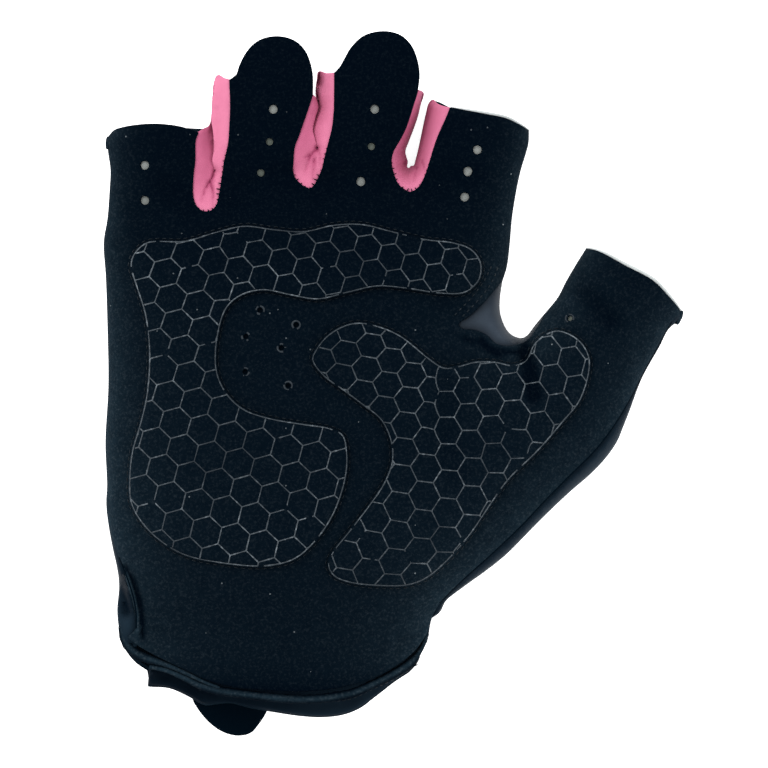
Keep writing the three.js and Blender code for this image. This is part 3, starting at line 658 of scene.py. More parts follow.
def signed_area(loop):
    x, y = loop[:, 0], loop[:, 1]
    return 0.5 * float(np.sum(x * np.roll(y, -1) - y * np.roll(x, -1)))


def vertex_normals(points, faces):
    """Normals at the corners of triangles, weighted by their areas."""
    normals = np.zeros_like(points)
    corners = np.array(faces)
    first = points[corners[:, 0]]
    area = np.cross(points[corners[:, 1]] - first, points[corners[:, 2]] - first)
    for k in range(3):
        np.add.at(normals, corners[:, k], area)
    return normals / np.maximum(np.linalg.norm(normals, axis=1), 1e-12)[:, None]


def border_edges(faces):
    """The edges that only one face has, in its walking direction."""
    border = {}
    for face in faces:
        for a, b in zip(face, face[1:] + face[:1]):
            if border.pop((b, a), None) is None:
                border[(a, b)] = True
    return list(border)


def thick_sheet(points, faces, wall, bulge=0.3, plumb=False):
    """Gives an open sheet a wall below it, with rounded edges. Faces turn to the sheet's outside.

    A plumb sheet's wall goes straight down, so that a steep sheet keeps its plan.
    """
    count = len(points)
    normals = np.zeros_like(points) + (0, 0, 1) if plumb else vertex_normals(points, faces)
    under = points - normals * wall
    border = border_edges(faces)
    out = np.zeros_like(points)
    for a, b in border:
        side = np.cross(points[b] - points[a], normals[a] + normals[b])
        side /= max(np.linalg.norm(side), 1e-12)
        out[a] += side
        out[b] += side
    out /= np.maximum(np.linalg.norm(out, axis=1), 1e-12)[:, None]
    rim = sorted({v for edge in border for v in edge})
    turns = [math.radians(a) for a in (45, 90, 135)]
    row_of = {v: k for k, v in enumerate(rim)}
    middle = (points + under) / 2
    rows = [
        middle[rim] + normals[rim] * wall / 2 * math.cos(t) + out[rim] * bulge * math.sin(t)
        for t in turns
    ]
    every = np.vstack([points, under, *rows])
    solid = list(faces) + [tuple(count + v for v in reversed(f)) for f in faces]
    for a, b in border:
        ladder_a = [a, *(2 * count + k * len(rim) + row_of[a] for k in range(3)), count + a]
        ladder_b = [b, *(2 * count + k * len(rim) + row_of[b] for k in range(3)), count + b]
        for k in range(4):
            solid.append((ladder_b[k], ladder_a[k], ladder_a[k + 1], ladder_b[k + 1]))
    return every, solid


def slab(places, top, under, faces):
    """A closed body between two heights over the same plan."""
    count = len(places)
    points = np.vstack([np.column_stack([places, top]), np.column_stack([places, under])])
    solid = list(faces) + [tuple(count + v for v in reversed(f)) for f in faces]
    solid += [(b, a, count + a, count + b) for a, b in border_edges(faces)]
    return points, solid


def joined(parts):
    """Several parts, each of points and faces, as one."""
    faces, base = [], 0
    for points, solid in parts:
        faces += [tuple(base + v for v in f) for f in solid]
        base += len(points)
    return np.vstack([points for points, _ in parts]), faces


def piece(name, points, faces, material, slot, sharp=60, wear_and_shading=None):
    """A mesh object from pattern millimetres, riding on the glove. Its wear and shading, real wear and
    tone mixed with painted light and shade, lightens it over the plan.
    """
    placed = np.array(points, float)
    placed[:, :2] -= PATTERN_ORIGIN
    mesh = bpy.data.meshes.new(name)
    mesh.from_pydata((placed * MM).tolist(), [], [tuple(int(i) for i in f) for f in faces])
    mesh.validate()
    bm = bmesh.new()
    bm.from_mesh(mesh)
    bmesh.ops.remove_doubles(bm, verts=bm.verts, dist=1e-6)
    bmesh.ops.recalc_face_normals(bm, faces=bm.faces)
    bm.to_mesh(mesh)
    bm.free()
    mesh.shade_smooth()
    mesh.set_sharp_from_angle(angle=math.radians(sharp))
    mesh.materials.append(material)
    if wear_and_shading is not None:
        plan = np.array([tuple(v.co) for v in mesh.vertices])[:, :2] / MM + PATTERN_ORIGIN
        layer = mesh.attributes.new("wear_and_shading", "FLOAT", "POINT")
        layer.data.foreach_set("value", np.clip(wear_and_shading(plan), 0, 1))
    made = bpy.data.objects.new(name, mesh)
    bpy.context.scene.collection.objects.link(made)
    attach(made, "root")
    return made


# Finishes


def new_group(name, inputs):
    """A node group that puts out a colour, a roughness and a height."""
    group = bpy.data.node_groups.new(name, "ShaderNodeTree")
    for label, kind, value in inputs:
        socket = group.interface.new_socket(label, in_out="INPUT", socket_type=kind)
        socket.default_value = value
    group.interface.new_socket("Color", in_out="OUTPUT", socket_type="NodeSocketColor")
    group.interface.new_socket("Roughness", in_out="OUTPUT", socket_type="NodeSocketFloat")
    group.interface.new_socket("Height", in_out="OUTPUT", socket_type="NodeSocketFloat")
    return group, group.nodes.new("NodeGroupInput").outputs


def fill_inputs(group, node, inputs):
    """Links a node's inputs from sockets, or sets them to plain values."""
    for label, value in inputs.items():
        if isinstance(value, bpy.types.NodeSocket):
            group.links.new(value, node.inputs[label])
        else:
            node.inputs[label].default_value = value


def add_node(group, kind, inputs):
    """A node with its inputs filled."""
    node = group.nodes.new(kind)
    fill_inputs(group, node, inputs)
    return node


def calculated(group, operation, *inputs, clamp=False):
    """A Math node's output."""
    node = group.nodes.new("ShaderNodeMath")
    node.operation = operation
    node.use_clamp = clamp
    fill_inputs(group, node, dict(enumerate(inputs)))
    return node.outputs[0]


def mixed(group, factor, first, second, kind="RGBA"):
    """A Mix node's output: a colour, or a value where the kind is FLOAT."""
    node = group.nodes.new("ShaderNodeMix")
    node.data_type = kind
    fill_inputs(group, node, {"Factor": factor, "A": first, "B": second})
    return node.outputs["Result"]


def stretched(group, value, low, high, new_low=0.0, new_high=1.0):
    """A value's range from low to high brought to the new one."""
    span = {"Value": value, "From Min": low, "From Max": high, "To Min": new_low, "To Max": new_high}
    return add_node(group, "ShaderNodeMapRange", span).outputs["Result"]


def wear_and_shading_mask(group):
    """The wear and shading that each piece keeps at its points: real wear and tone mixed with painted
    light and shade.
    """
    wear_and_shading = group.nodes.new("ShaderNodeAttribute")
    wear_and_shading.attribute_name = "wear_and_shading"
    return wear_and_shading.outputs["Fac"]


def build_nap_group():
    """Brushed nap: short fibres that catch light here and there, lint and a slow drift of tone. The wear
    and shading mask takes it towards the paler second colour: painted sheen and highlights on the suede,
    real wear on the print.
    """
    group, given = new_group(
        "brushed_nap",
        [
            ("Base", "NodeSocketColor", (0.01, 0.01, 0.01, 1)),
            ("Worn And Lit", "NodeSocketColor", (0.02, 0.02, 0.02, 1)),
            ("Fibre", "NodeSocketColor", (0.1, 0.1, 0.1, 1)),
            ("Fibre Amount", "NodeSocketFloat", 0.3),
            ("Grain Scale", "NodeSocketFloat", 1800.0),
            ("Roughness", "NodeSocketFloat", 0.9),
        ],
    )
    place = group.nodes.new("ShaderNodeTexCoord").outputs["Object"]
    grain_look = {"Vector": place, "Scale": given["Grain Scale"], "Detail": 6, "Roughness": 0.7}
    grain = add_node(group, "ShaderNodeTexNoise", grain_look).outputs["Fac"]
    drift_look = {"Vector": place, "Scale": 420, "Detail": 6, "Roughness": 0.75}
    drift = add_node(group, "ShaderNodeTexNoise", drift_look).outputs["Fac"]
    wear_and_shading = wear_and_shading_mask(group)

    drifting = stretched(group, drift, 0.3, 0.7, 0.65, 1.35)
    patchy = calculated(group, "MULTIPLY", wear_and_shading, drifting, clamp=True)
    ground = mixed(group, patchy, given["Base"], given["Worn And Lit"])

    # More fibres and lint show where the wear and shading mask is high, which on the suede is painted
    # sheen.
    fibre_and_lint_gain = calculated(group, "MULTIPLY_ADD", wear_and_shading, 3.0, 0.25)
    sparkle = calculated(group, "MULTIPLY", stretched(group, grain, 0.5, 0.72), given["Fibre Amount"])
    brushed = calculated(group, "MULTIPLY", sparkle, fibre_and_lint_gain, clamp=True)
    nap = mixed(group, brushed, ground, given["Fibre"])

    # A speck sits at the middle of one scattered spot in twenty.
    scatter = add_node(group, "ShaderNodeTexVoronoi", {"Vector": place, "Scale": 520})
    draw = add_node(group, "ShaderNodeSeparateColor", {"Color": scatter.outputs["Color"]})
    near = calculated(group, "LESS_THAN", scatter.outputs["Distance"], 0.1)
    rare = calculated(group, "GREATER_THAN", draw.outputs["Red"], 0.95)
    speck = calculated(group, "MULTIPLY", near, rare)
    shown = calculated(group, "MULTIPLY", speck, fibre_and_lint_gain, clamp=True)
    colour = mixed(group, shown, nap, (0.12, 0.14, 0.15, 1))

    rough = calculated(group, "MULTIPLY_ADD", grain, 0.08, given["Roughness"])
    add_node(group, "NodeGroupOutput", {"Color": colour, "Roughness": rough, "Height": grain})
    return group


def ribs(group, direction, inputs):
    """Wave bands across one direction."""
    wave = add_node(group, "ShaderNodeTexWave", inputs)
    wave.wave_type = "BANDS"
    wave.bands_direction = direction
    return wave.outputs["Fac"]


def build_knit_group():
    """Fine knitted columns, with a soft drift of tone, part of which comes from the wear and shading mask
    with its painted light and shade.
    """
    group, given = new_group(
        "fine_knit",
        [
            ("Light", "NodeSocketColor", (0.8, 0.8, 0.8, 1)),
            ("Deep", "NodeSocketColor", (0.4, 0.4, 0.4, 1)),
            ("Column Scale", "NodeSocketFloat", 1300.0),
            ("Wear And Shading Share", "NodeSocketFloat", 0.0),
            ("Roughness", "NodeSocketFloat", 0.6),
        ],
    )
    place = group.nodes.new("ShaderNodeTexCoord").outputs["Object"]
    cloth = {"Vector": place, "Scale": given["Column Scale"], "Detail": 2}
    columns = ribs(group, "X", {**cloth, "Distortion": 1.2, "Detail Scale": 1.5})
    courses = ribs(group, "Y", {**cloth, "Distortion": 1.5})
    knit = calculated(group, "MULTIPLY", columns, courses)
    drift_look = {"Vector": place, "Scale": 130, "Detail": 5}
    drift = add_node(group, "ShaderNodeTexNoise", drift_look).outputs["Fac"]

    woven = calculated(group, "MULTIPLY_ADD", knit, 0.35, drift)
    tone = stretched(group, woven, 0.35, 0.95)
    # Painted light and shade: this share of the tone follows the wear and shading mask.
    tone = mixed(group, given["Wear And Shading Share"], tone, wear_and_shading_mask(group), kind="FLOAT")
    colour = mixed(group, tone, given["Deep"], given["Light"])

    rough = calculated(group, "MULTIPLY_ADD", drift, 0.15, given["Roughness"])
    add_node(group, "NodeGroupOutput", {"Color": colour, "Roughness": rough, "Height": knit})
    return group


NAP = build_nap_group()
KNIT = build_knit_group()


def cloth_material(name, group, values, bump, depth, shader_values):
    """A Principled surface fed by one of the cloth groups."""
    material = bpy.data.materials.new(name)
    material.use_nodes = True
    nodes, links = material.node_tree.nodes, material.node_tree.links
    shader = nodes["Principled BSDF"]
    surface = nodes.new("ShaderNodeGroup")
    surface.node_tree = group
    for label, value in values.items():
        surface.inputs[label].default_value = value
    links.new(surface.outputs["Color"], shader.inputs["Base Color"])
    links.new(surface.outputs["Roughness"], shader.inputs["Roughness"])
    relief = nodes.new("ShaderNodeBump")
    relief.inputs["Strength"].default_value = bump
    relief.inputs["Distance"].default_value = depth * MM
    links.new(surface.outputs["Height"], relief.inputs["Height"])
    links.new(relief.outputs["Normal"], shader.inputs["Normal"])
    for label, value in shader_values.items():
        shader.inputs[label].default_value = value
    return material


suede = cloth_material(
    "suede",
    NAP,
    {
        "Base": (0.0001, 0.0014, 0.0036, 1),
        "Worn And Lit": (0.0095, 0.0195, 0.028, 1),
        "Fibre": (0.033, 0.045, 0.054, 1),
        "Fibre Amount": 0.3,
        "Grain Scale": 1500,
        "Roughness": 0.92,
    },
    bump=0.8,
    depth=0.14,
    shader_values={"Specular IOR Level": 0.01},
)
satin = cloth_material(
    "satin_lycra",
    KNIT,
    {
        "Light": (0.0085, 0.0175, 0.027, 1),
        "Deep": (0.0001, 0.002, 0.005, 1),
        "Column Scale": 1100,
        "Wear And Shading Share": 0.75,
        "Roughness": 0.5,
    },
    bump=0.2,
    depth=0.05,
    shader_values={
        "Specular IOR Level": 0.015,
        "Sheen Weight": 0.012,
        "Sheen Roughness": 0.35,
        "Sheen Tint": (0.5, 0.8, 1, 1),
    },
)
pink = cloth_material(
    "pink_lycra",
    KNIT,
    {
        "Light": (0.5, 0.15, 0.245, 1),
        "Deep": (0.24, 0.035, 0.09, 1),
        "Column Scale": 1400,
        "Wear And Shading Share": 0.85,
        "Roughness": 0.7,
    },
    bump=0.25,
    depth=0.08,
    shader_values={"Specular IOR Level": 0.1},
)
web_satin = cloth_material(
    "web_satin",
    KNIT,
    {
        "Light": (0.026, 0.036, 0.05, 1),
        "Deep": (0.003, 0.006, 0.01, 1),
        "Column Scale": 900,
        "Wear And Shading Share": 0.85,
        "Roughness": 0.55,
    },
    bump=0.25,
    depth=0.06,
    shader_values={"Specular IOR Level": 0.08},
)
strap_cloth = cloth_material(
    "strap_cloth",
    NAP,
    {
        "Base": (0.0002, 0.0021, 0.0045, 1),
        "Worn And Lit": (0.01, 0.014, 0.018, 1),
        "Fibre": (0.01, 0.016, 0.02, 1),
        "Fibre Amount": 0.15,
        "Grain Scale": 1500,
        "Roughness": 0.85,
    },
    bump=0.4,
    depth=0.1,
    shader_values={"Specular IOR Level": 0.01},
)
thread = cloth_material(
    "thread",
    NAP,
    {
        "Base": (0.006, 0.01, 0.014, 1),
        "Worn And Lit": (0.05, 0.06, 0.07, 1),
        "Fibre": (0.07, 0.085, 0.1, 1),
        "Fibre Amount": 0.8,
        "Grain Scale": 900,
        "Roughness": 0.7,
    },
    bump=0.3,
    depth=0.05,
    shader_values={"Specular IOR Level": 0.1},
)
print_line = cloth_material(
    "silicone_print",
    NAP,
    {
        "Base": (0.01, 0.015, 0.02, 1),
        "Worn And Lit": (0.04, 0.051, 0.06, 1),
        "Fibre": (0.125, 0.148, 0.165, 1),
        "Fibre Amount": 0.6,
        "Grain Scale": 900,
        "Roughness": 0.55,
    },
    bump=0.4,
    depth=0.08,
    shader_values={"Specular IOR Level": 0.15},
)


def lining_material(name, light, deep, gloss):
    """The knitted inner cloth, in the tones given for the place where it is seen; the darker copies for
    the holes are painted shade.
    """
    return cloth_material(
        name,
        KNIT,
        {"Light": light, "Deep": deep, "Column Scale": 1500, "Roughness": 0.8},
        bump=0.3,
        depth=0.05,
        shader_values={"Specular IOR Level": gloss},
    )


lining = lining_material("lining_cloth", (0.5, 0.53, 0.53, 1), (0.3, 0.32, 0.32, 1), 0.2)
# Copies of the lining darkened by painted shade for the holes, the shaded one the most.
hole_lining = lining_material("hole_lining", (0.25, 0.265, 0.255, 1), (0.12, 0.13, 0.125, 1), 0.1)
shaded_lining = lining_material("shaded_lining", (0.11, 0.125, 0.11, 1), (0.06, 0.07, 0.06, 1), 0.1)


# The sewn pieces


finger_ends = [smooth(end) for end in (LITTLE_MOUTH, RING_TAB, MIDDLE_TAB, INDEX_MOUTH)]
gap_edges = [smooth(gap["edge"], 0.7) for gap in FINGER_GAPS]
finger_line = [line for pair in zip(finger_ends, gap_edges) for line in pair] + finger_ends[3:]
suede_outline = chain(
    smooth(SUEDE_LITTLE_EDGE),
    smooth([p for p in LITTLE_SIDE if p[1] >= SUEDE_LEAVES_SIDE]),
    *finger_line,
    smooth(INDEX_SIDE),
    smooth(WEB_EDGE, 0.8),
    smooth(THUMB_INNER),
    smooth(THUMB_MOUTH),
    smooth(SUEDE_THUMB_EDGE),
    smooth(HEM_LINE),
)


def outward(line, region):
    """Unit normals of a line that lead out of a region."""
    normals = left_normals(line)
    within = inside(line + normals * 0.4, region)
    return normals * (-1 if within.mean() > 0.5 else 1)


def tucked_edge(edge, region):
    """An edge moved out of its region, so that the cloth reaches in under the suede."""
    travelled = arc_length(edge)
    ends = np.minimum(travelled, travelled[-1] - travelled)
    return edge + outward(edge, region) * (TUCK * np.clip(ends / 2.2, 0.02, 1) ** 0.7)[:, None]


def covered_by(places, edge, free_line):
    """How far in under the suede's edge each place lies; 0 where the cloth shows."""
    opening = np.vstack([edge, free_line[1:-1]])
    shows = inside(places, opening) | (distance(places, free_line) < 0.05)
    return np.where(shows, 0, distance(places, edge))


def under_suede(covered):
    """How far a cloth sewn under the suede's edge lies below the suede's top."""
    return 0.5 + (SUEDE_WALL - 0.35) * ease(covered / 0.5)


def suede_painted_light(places):
    """Painted light on the suede: a painted sheen towards the sides, wider towards the wrist, painted
    shade along the hem, in the cuff's crease and in the dents, and a painted highlight on the cuff's
    ridge. Besides it is a little paler towards the wrist and darkest at the fingers.
    """
    side = side_distance(places)
    low = ease((60 - places[:, 1]) / 110)
    tone = 0.04 * ease((50 - places[:, 1]) / 40) + 0.04 * low
    # Painted sheen towards the sides.
    tone += 0.4 * np.exp(-side / 2.5) + (0.03 + 0.3 * low) * np.exp(-side / 9)
    # Painted shade along the hem.
    tone -= 0.1 * np.exp(-distance(places, smooth(HEM_LINE, 2)) / 3)
    # Painted highlight on the cuff's ridge and painted shade in its crease.
    tone += 0.45 * swell(distance(places, smooth(CUFF_RIDGE)), 0.5)
    tone -= 0.5 * swell(distance(places, smooth(CUFF_CREASE)), 0.6)
    # Painted shade in the dents, and a painted highlight where the shade is negative.
    for dent in DENTS:
        away = distance(places, np.array(dent["path"], float))
        tone -= dent.get("shade", 0.06 * dent["depth"]) * swell(away, dent["width"])
    return tone


def make_palm_panel():
    """The suede palm with the palm sides of the fingers and the thumb, and its punched holes."""
    holes = [circle(c, LIT_HOLE) for c in LIT_HOLES] + [circle(c, SHADED_HOLE) for c in SHADED_HOLES]
    holes += [circle(c, PALM_HOLE) for c in PALM_HOLES + THUMB_HOLES]
    places, faces = plan_sheet(suede_outline, holes)
    points = np.column_stack([places, suede_height(places)])
    points, faces = thick_sheet(points, faces, SUEDE_WALL, bulge=0.2)
    panel = piece("palm_suede", points, faces, suede, "suede", wear_and_shading=suede_painted_light)
    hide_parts("palm_panel")
    return panel


def make_hole_linings(name, centres, diameter, material):
    """Discs of cloth under the punched holes, seen through them."""
    discs = []
    for centre in centres:
        disc = np.vstack([[centre], circle(centre, 1.7 * diameter)])
        count = len(disc)
        top = np.column_stack([disc, suede_height(disc) - SUEDE_WALL + 0.25])
        sheet = [(0, i, i % (count - 1) + 1) for i in range(1, count)]
        discs.append(thick_sheet(top, sheet, 0.4, bulge=0.1))
    piece(name, *joined(discs), material, "grip_print")


def make_hole_rings():
    """The worn rims of the small holes in the palm and the thumb."""
    rings = []
    for centre in PALM_HOLES + THUMB_HOLES:
        ring = circle(centre, PALM_HOLE + 0.4, 28)
        rings.append(np.vstack([ring, ring[:1]]))
    every = np.vstack(rings)
    width = 0.42 + 0.16 * wander(every, 0.8, 62, 2)
    beads = worn_beads(rings, wander(every, 1.1, 61, 2) > -0.15, width)
    lay_beads("palm_hole_rims", beads, 0.12, suede_height, print_line, "grip_print")


def make_mouth_linings():
    """The pale inner side of the back's cloth, seen past the suede at two mouths."""
    beads = []
    for line, widest in ((smooth(THUMB_MOUTH, 0.6), 1.0), (smooth(INDEX_MOUTH, 0.6), 0.8)):
        share = np.linspace(0, 1, len(line))
        width = 0.2 + widest * np.sin(np.pi * share) ** 0.6
        beads.append(bead(line + outward(line, suede_outline) * (0.1 + width / 4)[:, None], width))

    def inner_height(places):
        return suede_height(places) - 2.2

    lay_beads("mouth_lining", beads, 0.4, inner_height, lining, "satin_lycra")


def make_back():
    """The back of the glove, which lies on the table."""
    slits = [smooth(slit) for slit in BACK_SLITS]
    slits.append(smooth(FINGER_GAPS[2]["meeting"], 0.7)[::-1])
    mouths = [smooth(mouth) for mouth in BACK_MOUTHS]
    fingers = [line for pair in zip(mouths, slits) for line in pair] + mouths[3:]
    thumb = [THUMB_CROTCH, THUMB_INNER, THUMB_MOUTH, THUMB_OUTER]
    rest = [smooth(line) for line in (INDEX_SIDE, *thumb, BAND_LINE, BAND_END)]
    outline = chain(smooth(LITTLE_SIDE), *fingers, *rest)
    places, faces = plan_sheet(outline, step=1.3)
    near_slit = np.min([distance(places, slit) for slit in slits], axis=0)
    z = np.maximum(sole_height(places), WALL_SEAM_HEIGHT * (1 - rise(near_slit, 3.0)))
    z += 0.12 * wander(places, 12, 5) * np.clip(z, 0, 1)
    points = np.column_stack([places, np.maximum(z, 0)])
    points, faces = thick_sheet(points, [f[::-1] for f in faces], LYCRA_WALL)

    def wear_and_shading(plan):
        return 0.3 + 0.2 * wander(plan, 9, 6)

    back = piece("back_satin", points, faces, satin, "satin_lycra", wear_and_shading=wear_and_shading)
    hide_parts("back_panel")


def make_side_rise(name, side, edge, dents):
    """The back's cloth where it comes up over the hand's edge and runs in under the suede."""
    tucked = tucked_edge(edge, np.vstack([side, edge[::-1]]))
    outline = np.vstack([side, tucked[::-1][1:-1]])
    places, faces = plan_sheet(outline, step=0.8, rings=(0.3, 0.8))
    covered = covered_by(places, edge[::-1], side)
    seam = 0.9 * swell(distance(places, edge), 0.45)
    z = suede_height(places) - (under_suede(covered) + seam) * ease(distance(places, side) / 1.2)
    z -= dent_depth(places, dents) * ease((distance(places, edge) - 0.6) / 2) * (covered == 0)
    points, faces = thick_sheet(np.column_stack([places, z]), faces, LYCRA_WALL, bulge=0.15)

    def wear_and_shading(plan):
        # Painted shade along the suede's edge and in the dents.
        return 0.35 + 0.3 * ease(distance(plan, edge) / 3) - 0.5 * dent_depth(plan, dents) / 2

    made = piece(name, points, faces, satin, "satin_lycra", wear_and_shading=wear_and_shading)


def make_finger_wall(gap, seed):
    """The pink cloth between two fingers: from under the suede down to where its sides meet."""
    edge, rim, meeting = smooth(gap["edge"], 0.4), smooth(gap["rim"], 0.4), smooth(gap["meeting"], 0.4)
    tucked = tucked_edge(edge, chain(edge, rim))
    outline = np.vstack([tucked, rim[1:-1]])
    parting = None if gap["open"] else even_steps(meeting, 0.25)
    places, faces = plan_sheet(outline, step=0.4, rings=(0.08, 0.25, 0.5, 0.85, 1.25), parting=parting)
    covered = covered_by(places, edge, rim)
    foot = int(np.argmin(edge[:, 1]))

    def on_left(plan):
        """Whether places belong to the gap's left side. A closed gap is parted by its meeting line."""
        if gap["open"]:
            return distance(plan, edge[: foot + 1]) < distance(plan, edge[foot:])
        rising = parting[np.argsort(parting[:, 1])]
        return plan[:, 0] < np.interp(plan[:, 1], rising[:, 1], rising[:, 0])

    def share_of(plan):
        inner, outer = distance(plan, meeting), distance(plan, edge)
        return inner / np.maximum(inner + outer, 1e-6)

    def folds_of(plan):
        """Creases, and the softer hollows beside them."""
        crease, hollow = np.zeros(len(plan)), np.zeros(len(plan))
        for fold in gap["folds"]:
            path = smooth(fold["path"], 0.4)
            away = distance(plan, path)
            travelled = np.linalg.norm(plan - path[0], axis=1) / arc_length(path)[-1]
            fade = 1 - 0.75 * np.clip(travelled, 0, 1)
            crease += fold["depth"] * fade * swell(away, 0.2)
            hollow += fold["depth"] * fade * swell(away, 0.7)
        return crease, hollow

    high = suede_height(places) - under_suede(covered)
    heel = np.linalg.norm(places - np.array(gap["heel"]), axis=1)
    drop = 8 if gap["open"] else 1.4 + 6 * ease(heel / 15)
    above_heel = ease((places[:, 1] - gap["heel"][1] + 1) / 4)
    falls = 1 + (np.where(on_left(places), *gap["falls"]) - 1) * above_heel
    low = np.maximum(high - drop * falls, WALL_SEAM_HEIGHT)
    share = np.where(covered > 0, 1, share_of(places))
    crease, hollow = folds_of(places)
    soft = np.clip(distance(places, edge) / 0.8, 0, 1)
    z = low + (high - low) * np.sin(share * np.pi / 2) - soft * (0.7 * crease + 0.3 * hollow)
    z += soft * 0.1 * wander(places, 3, seed)
    points, faces = thick_sheet(np.column_stack([places, z]), faces, GAP_WALL, bulge=0.1, plumb=True)

    def wear_and_shading(plan):
        left = on_left(plan)
        near_foot = swell(np.linalg.norm(plan - edge[foot], axis=1), 7)
        # The sides' tones are painted light, one side lit more than the other.
        tone = np.where(left, *gap["painted_light_tones"]) * (1 - near_foot) + 0.85 * near_foot
        turned = swell(distance(plan, rim), 0.5)
        # Painted shade towards the meeting line.
        deep = np.exp(-share_of(plan) / (0.3 if gap["open"] else 0.42))
        tone = tone - np.where(left, *gap["shades"]) * deep * (1 - near_foot)
        crease, hollow = folds_of(plan)
        # Paler along the free rim, with painted shade in the creases and hollows.
        return tone + 0.12 * turned - 0.9 * crease - 0.2 * hollow + 0.06 * wander(plan, 2.2, seed + 7)

    wall = piece(gap["node"] + "_cloth", points, faces, pink, "pink_lycra", wear_and_shading=wear_and_shading)
    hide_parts(gap["node"])


def make_thumb_web():
    """The grey gusset in the crotch of the thumb."""
    edge, fold = smooth(WEB_EDGE, 0.5), smooth(THUMB_CROTCH, 0.5)[::-1]
    tucked = tucked_edge(edge, chain(edge, fold))
    outline = np.vstack([tucked, fold[1:-1]])
    places, faces = plan_sheet(outline, step=0.6, rings=(0.08, 0.25, 0.55, 1.0, 1.7))
    high = full_height(places) - 0.2 - under_suede(covered_by(places, edge, fold))
    z = WALL_SEAM_HEIGHT + (high - WALL_SEAM_HEIGHT) * rise(distance(places, fold), 3.4, 2.6)
    z += 0.2 * wander(places, 4, 11)
    points, faces = thick_sheet(np.column_stack([places, z]), faces, GAP_WALL, bulge=0.1)

    def wear_and_shading(plan):
        # Painted shade along the suede's edge and towards the gusset's left end.
        tone = 0.25 + 0.75 * ease(distance(plan, edge) / 2.6) + 0.15 * wander(plan, 3, 12)
        return tone * (0.45 + 0.45 * ease((plan[:, 0] - 16) / 8))

    web = piece("thumb_web_satin", points, faces, web_satin, "web_satin", wear_and_shading=wear_and_shading)
    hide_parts("thumb_web")


class Pad:
    """A foam pad on the palm: its outline and the height of its crowned top."""

    def __init__(self, outline):
        self.outline = smooth(outline, 0.9, closed=True)

    def depth(self, places):
        return distance(places, self.outline, closed=True)

    def top(self, places):
        return suede_height(places) + PAD_SEAT + PAD_RISE * rise(self.depth(places), PAD_ROUND)

    def ring(self, inset):
        """The outline moved inwards, as a closed line."""
        loop = np.vstack([self.outline, self.outline[:1]])
        return loop - outward(loop, self.outline) * inset


def make_pad(name, pad, node):
    """The padded suede itself, without its print."""
    places, faces = plan_sheet(pad.outline, step=1.0, rings=(0.15, 0.45, 0.9, 1.5, 2.2))
    points, solid = slab(places, pad.top(places), suede_height(places) - 0.1, faces)
    made = piece(name, points, solid, suede, "grip_print", wear_and_shading=suede_painted_light)
    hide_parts(node)


def bead(line, width):
    """A low rounded bead along a plan line: its places, the share of its height at each, its faces."""
    profile = ((-0.5, -0.12), (-0.3, 0.6), (0, 1.0), (0.3, 0.6), (0.5, -0.12), (0, -0.3))
    count, around = len(line), len(profile)
    sides = left_normals(line)
    places = np.vstack([line + sides * (offset * np.array(width))[:, None] for offset, _ in profile])
    lifts = np.repeat([lift for _, lift in profile], count)
    return places, lifts, tube_faces(around, count)


def tube_faces(around, count):
    """Faces of a closed tube whose points are stored as lines along it."""
    faces = []
    for row in range(around):
        here, beside = row * count, (row + 1) % around * count
        faces += [(here + c, here + c + 1, beside + c + 1, beside + c) for c in range(count - 1)]
    faces.append(tuple(r * count for r in range(around)))
    faces.append(tuple(r * count + count - 1 for r in reversed(range(around))))
    return faces


def lay_beads(name, beads, height, top_of, material, slot, wear_and_shading=None):
    """A piece made of beads laid on a surface."""
    places, faces = joined([(made, solid) for made, _, solid in beads])
    lifts = np.concatenate([lift for _, lift, _ in beads])
    points = np.column_stack([places, top_of(places) + height * lifts])
    piece(name, points, faces, material, slot, sharp=80, wear_and_shading=wear_and_shading)


def worn_beads(lines, keep, widths):
    """Beads along the kept stretches of lines whose samples are stored one after another."""
    beads, base = [], 0
    for line in lines:
        flags = np.concatenate([keep[base : base + len(line)], [False]])
        start = None
        for i, on in enumerate(flags):
            if on and start is None:
                start = i
            if not on and start is not None:
                if i - start > 1:
                    beads.append(bead(line[start:i], widths[base + start : base + i]))
                start = None
        base += len(line)
    return beads


def comb_place(comb, cells):
    """Where places counted in cells come to lie on the pad."""
    flat = cells @ np.array([comb["across"], comb["along"]]) + np.array(comb["cell"])
    x, y = ((flat - np.array(comb["middle"])) / BEND_REACH).T
    return flat + np.column_stack([x * x, x * y, y * y]) @ np.array(comb["bend"])


def beyond_part(places, comb):
    """How far outside a comb's part each place lies."""
    low, high = np.array(comb["part"][:2]), np.array(comb["part"][2:])
    return np.linalg.norm(np.maximum(np.maximum(low - places, places - high), 0), axis=1)


def cells_apart(comb, middles, spots, outline):
    """The whole number of cells between a comb's count and that of its neighbours on the pad."""
    beyond = beyond_part(spots, comb)
    near = (beyond < COMB_BLEND) & (beyond > 0) & inside(spots, outline)
    reach = range(1 - CELL_REACH, CELL_REACH)
    steps = [np.array([0.75**0.5 * a, 0.5 * a + b]) for a in reach for b in reach]
    gaps = [np.abs(comb_place(comb, middles[near] + step) - spots[near]).mean() for step in steps]
    return steps[int(np.argmin(gaps))]


def blended(places, comb, cells):
    """Places of the print moved to where a comb has them, within its part and fading out round it."""
    own = comb_place(comb, cells)
    return places + (own - places) * (1 - ease(beyond_part(own, comb) / COMB_BLEND))[:, None]


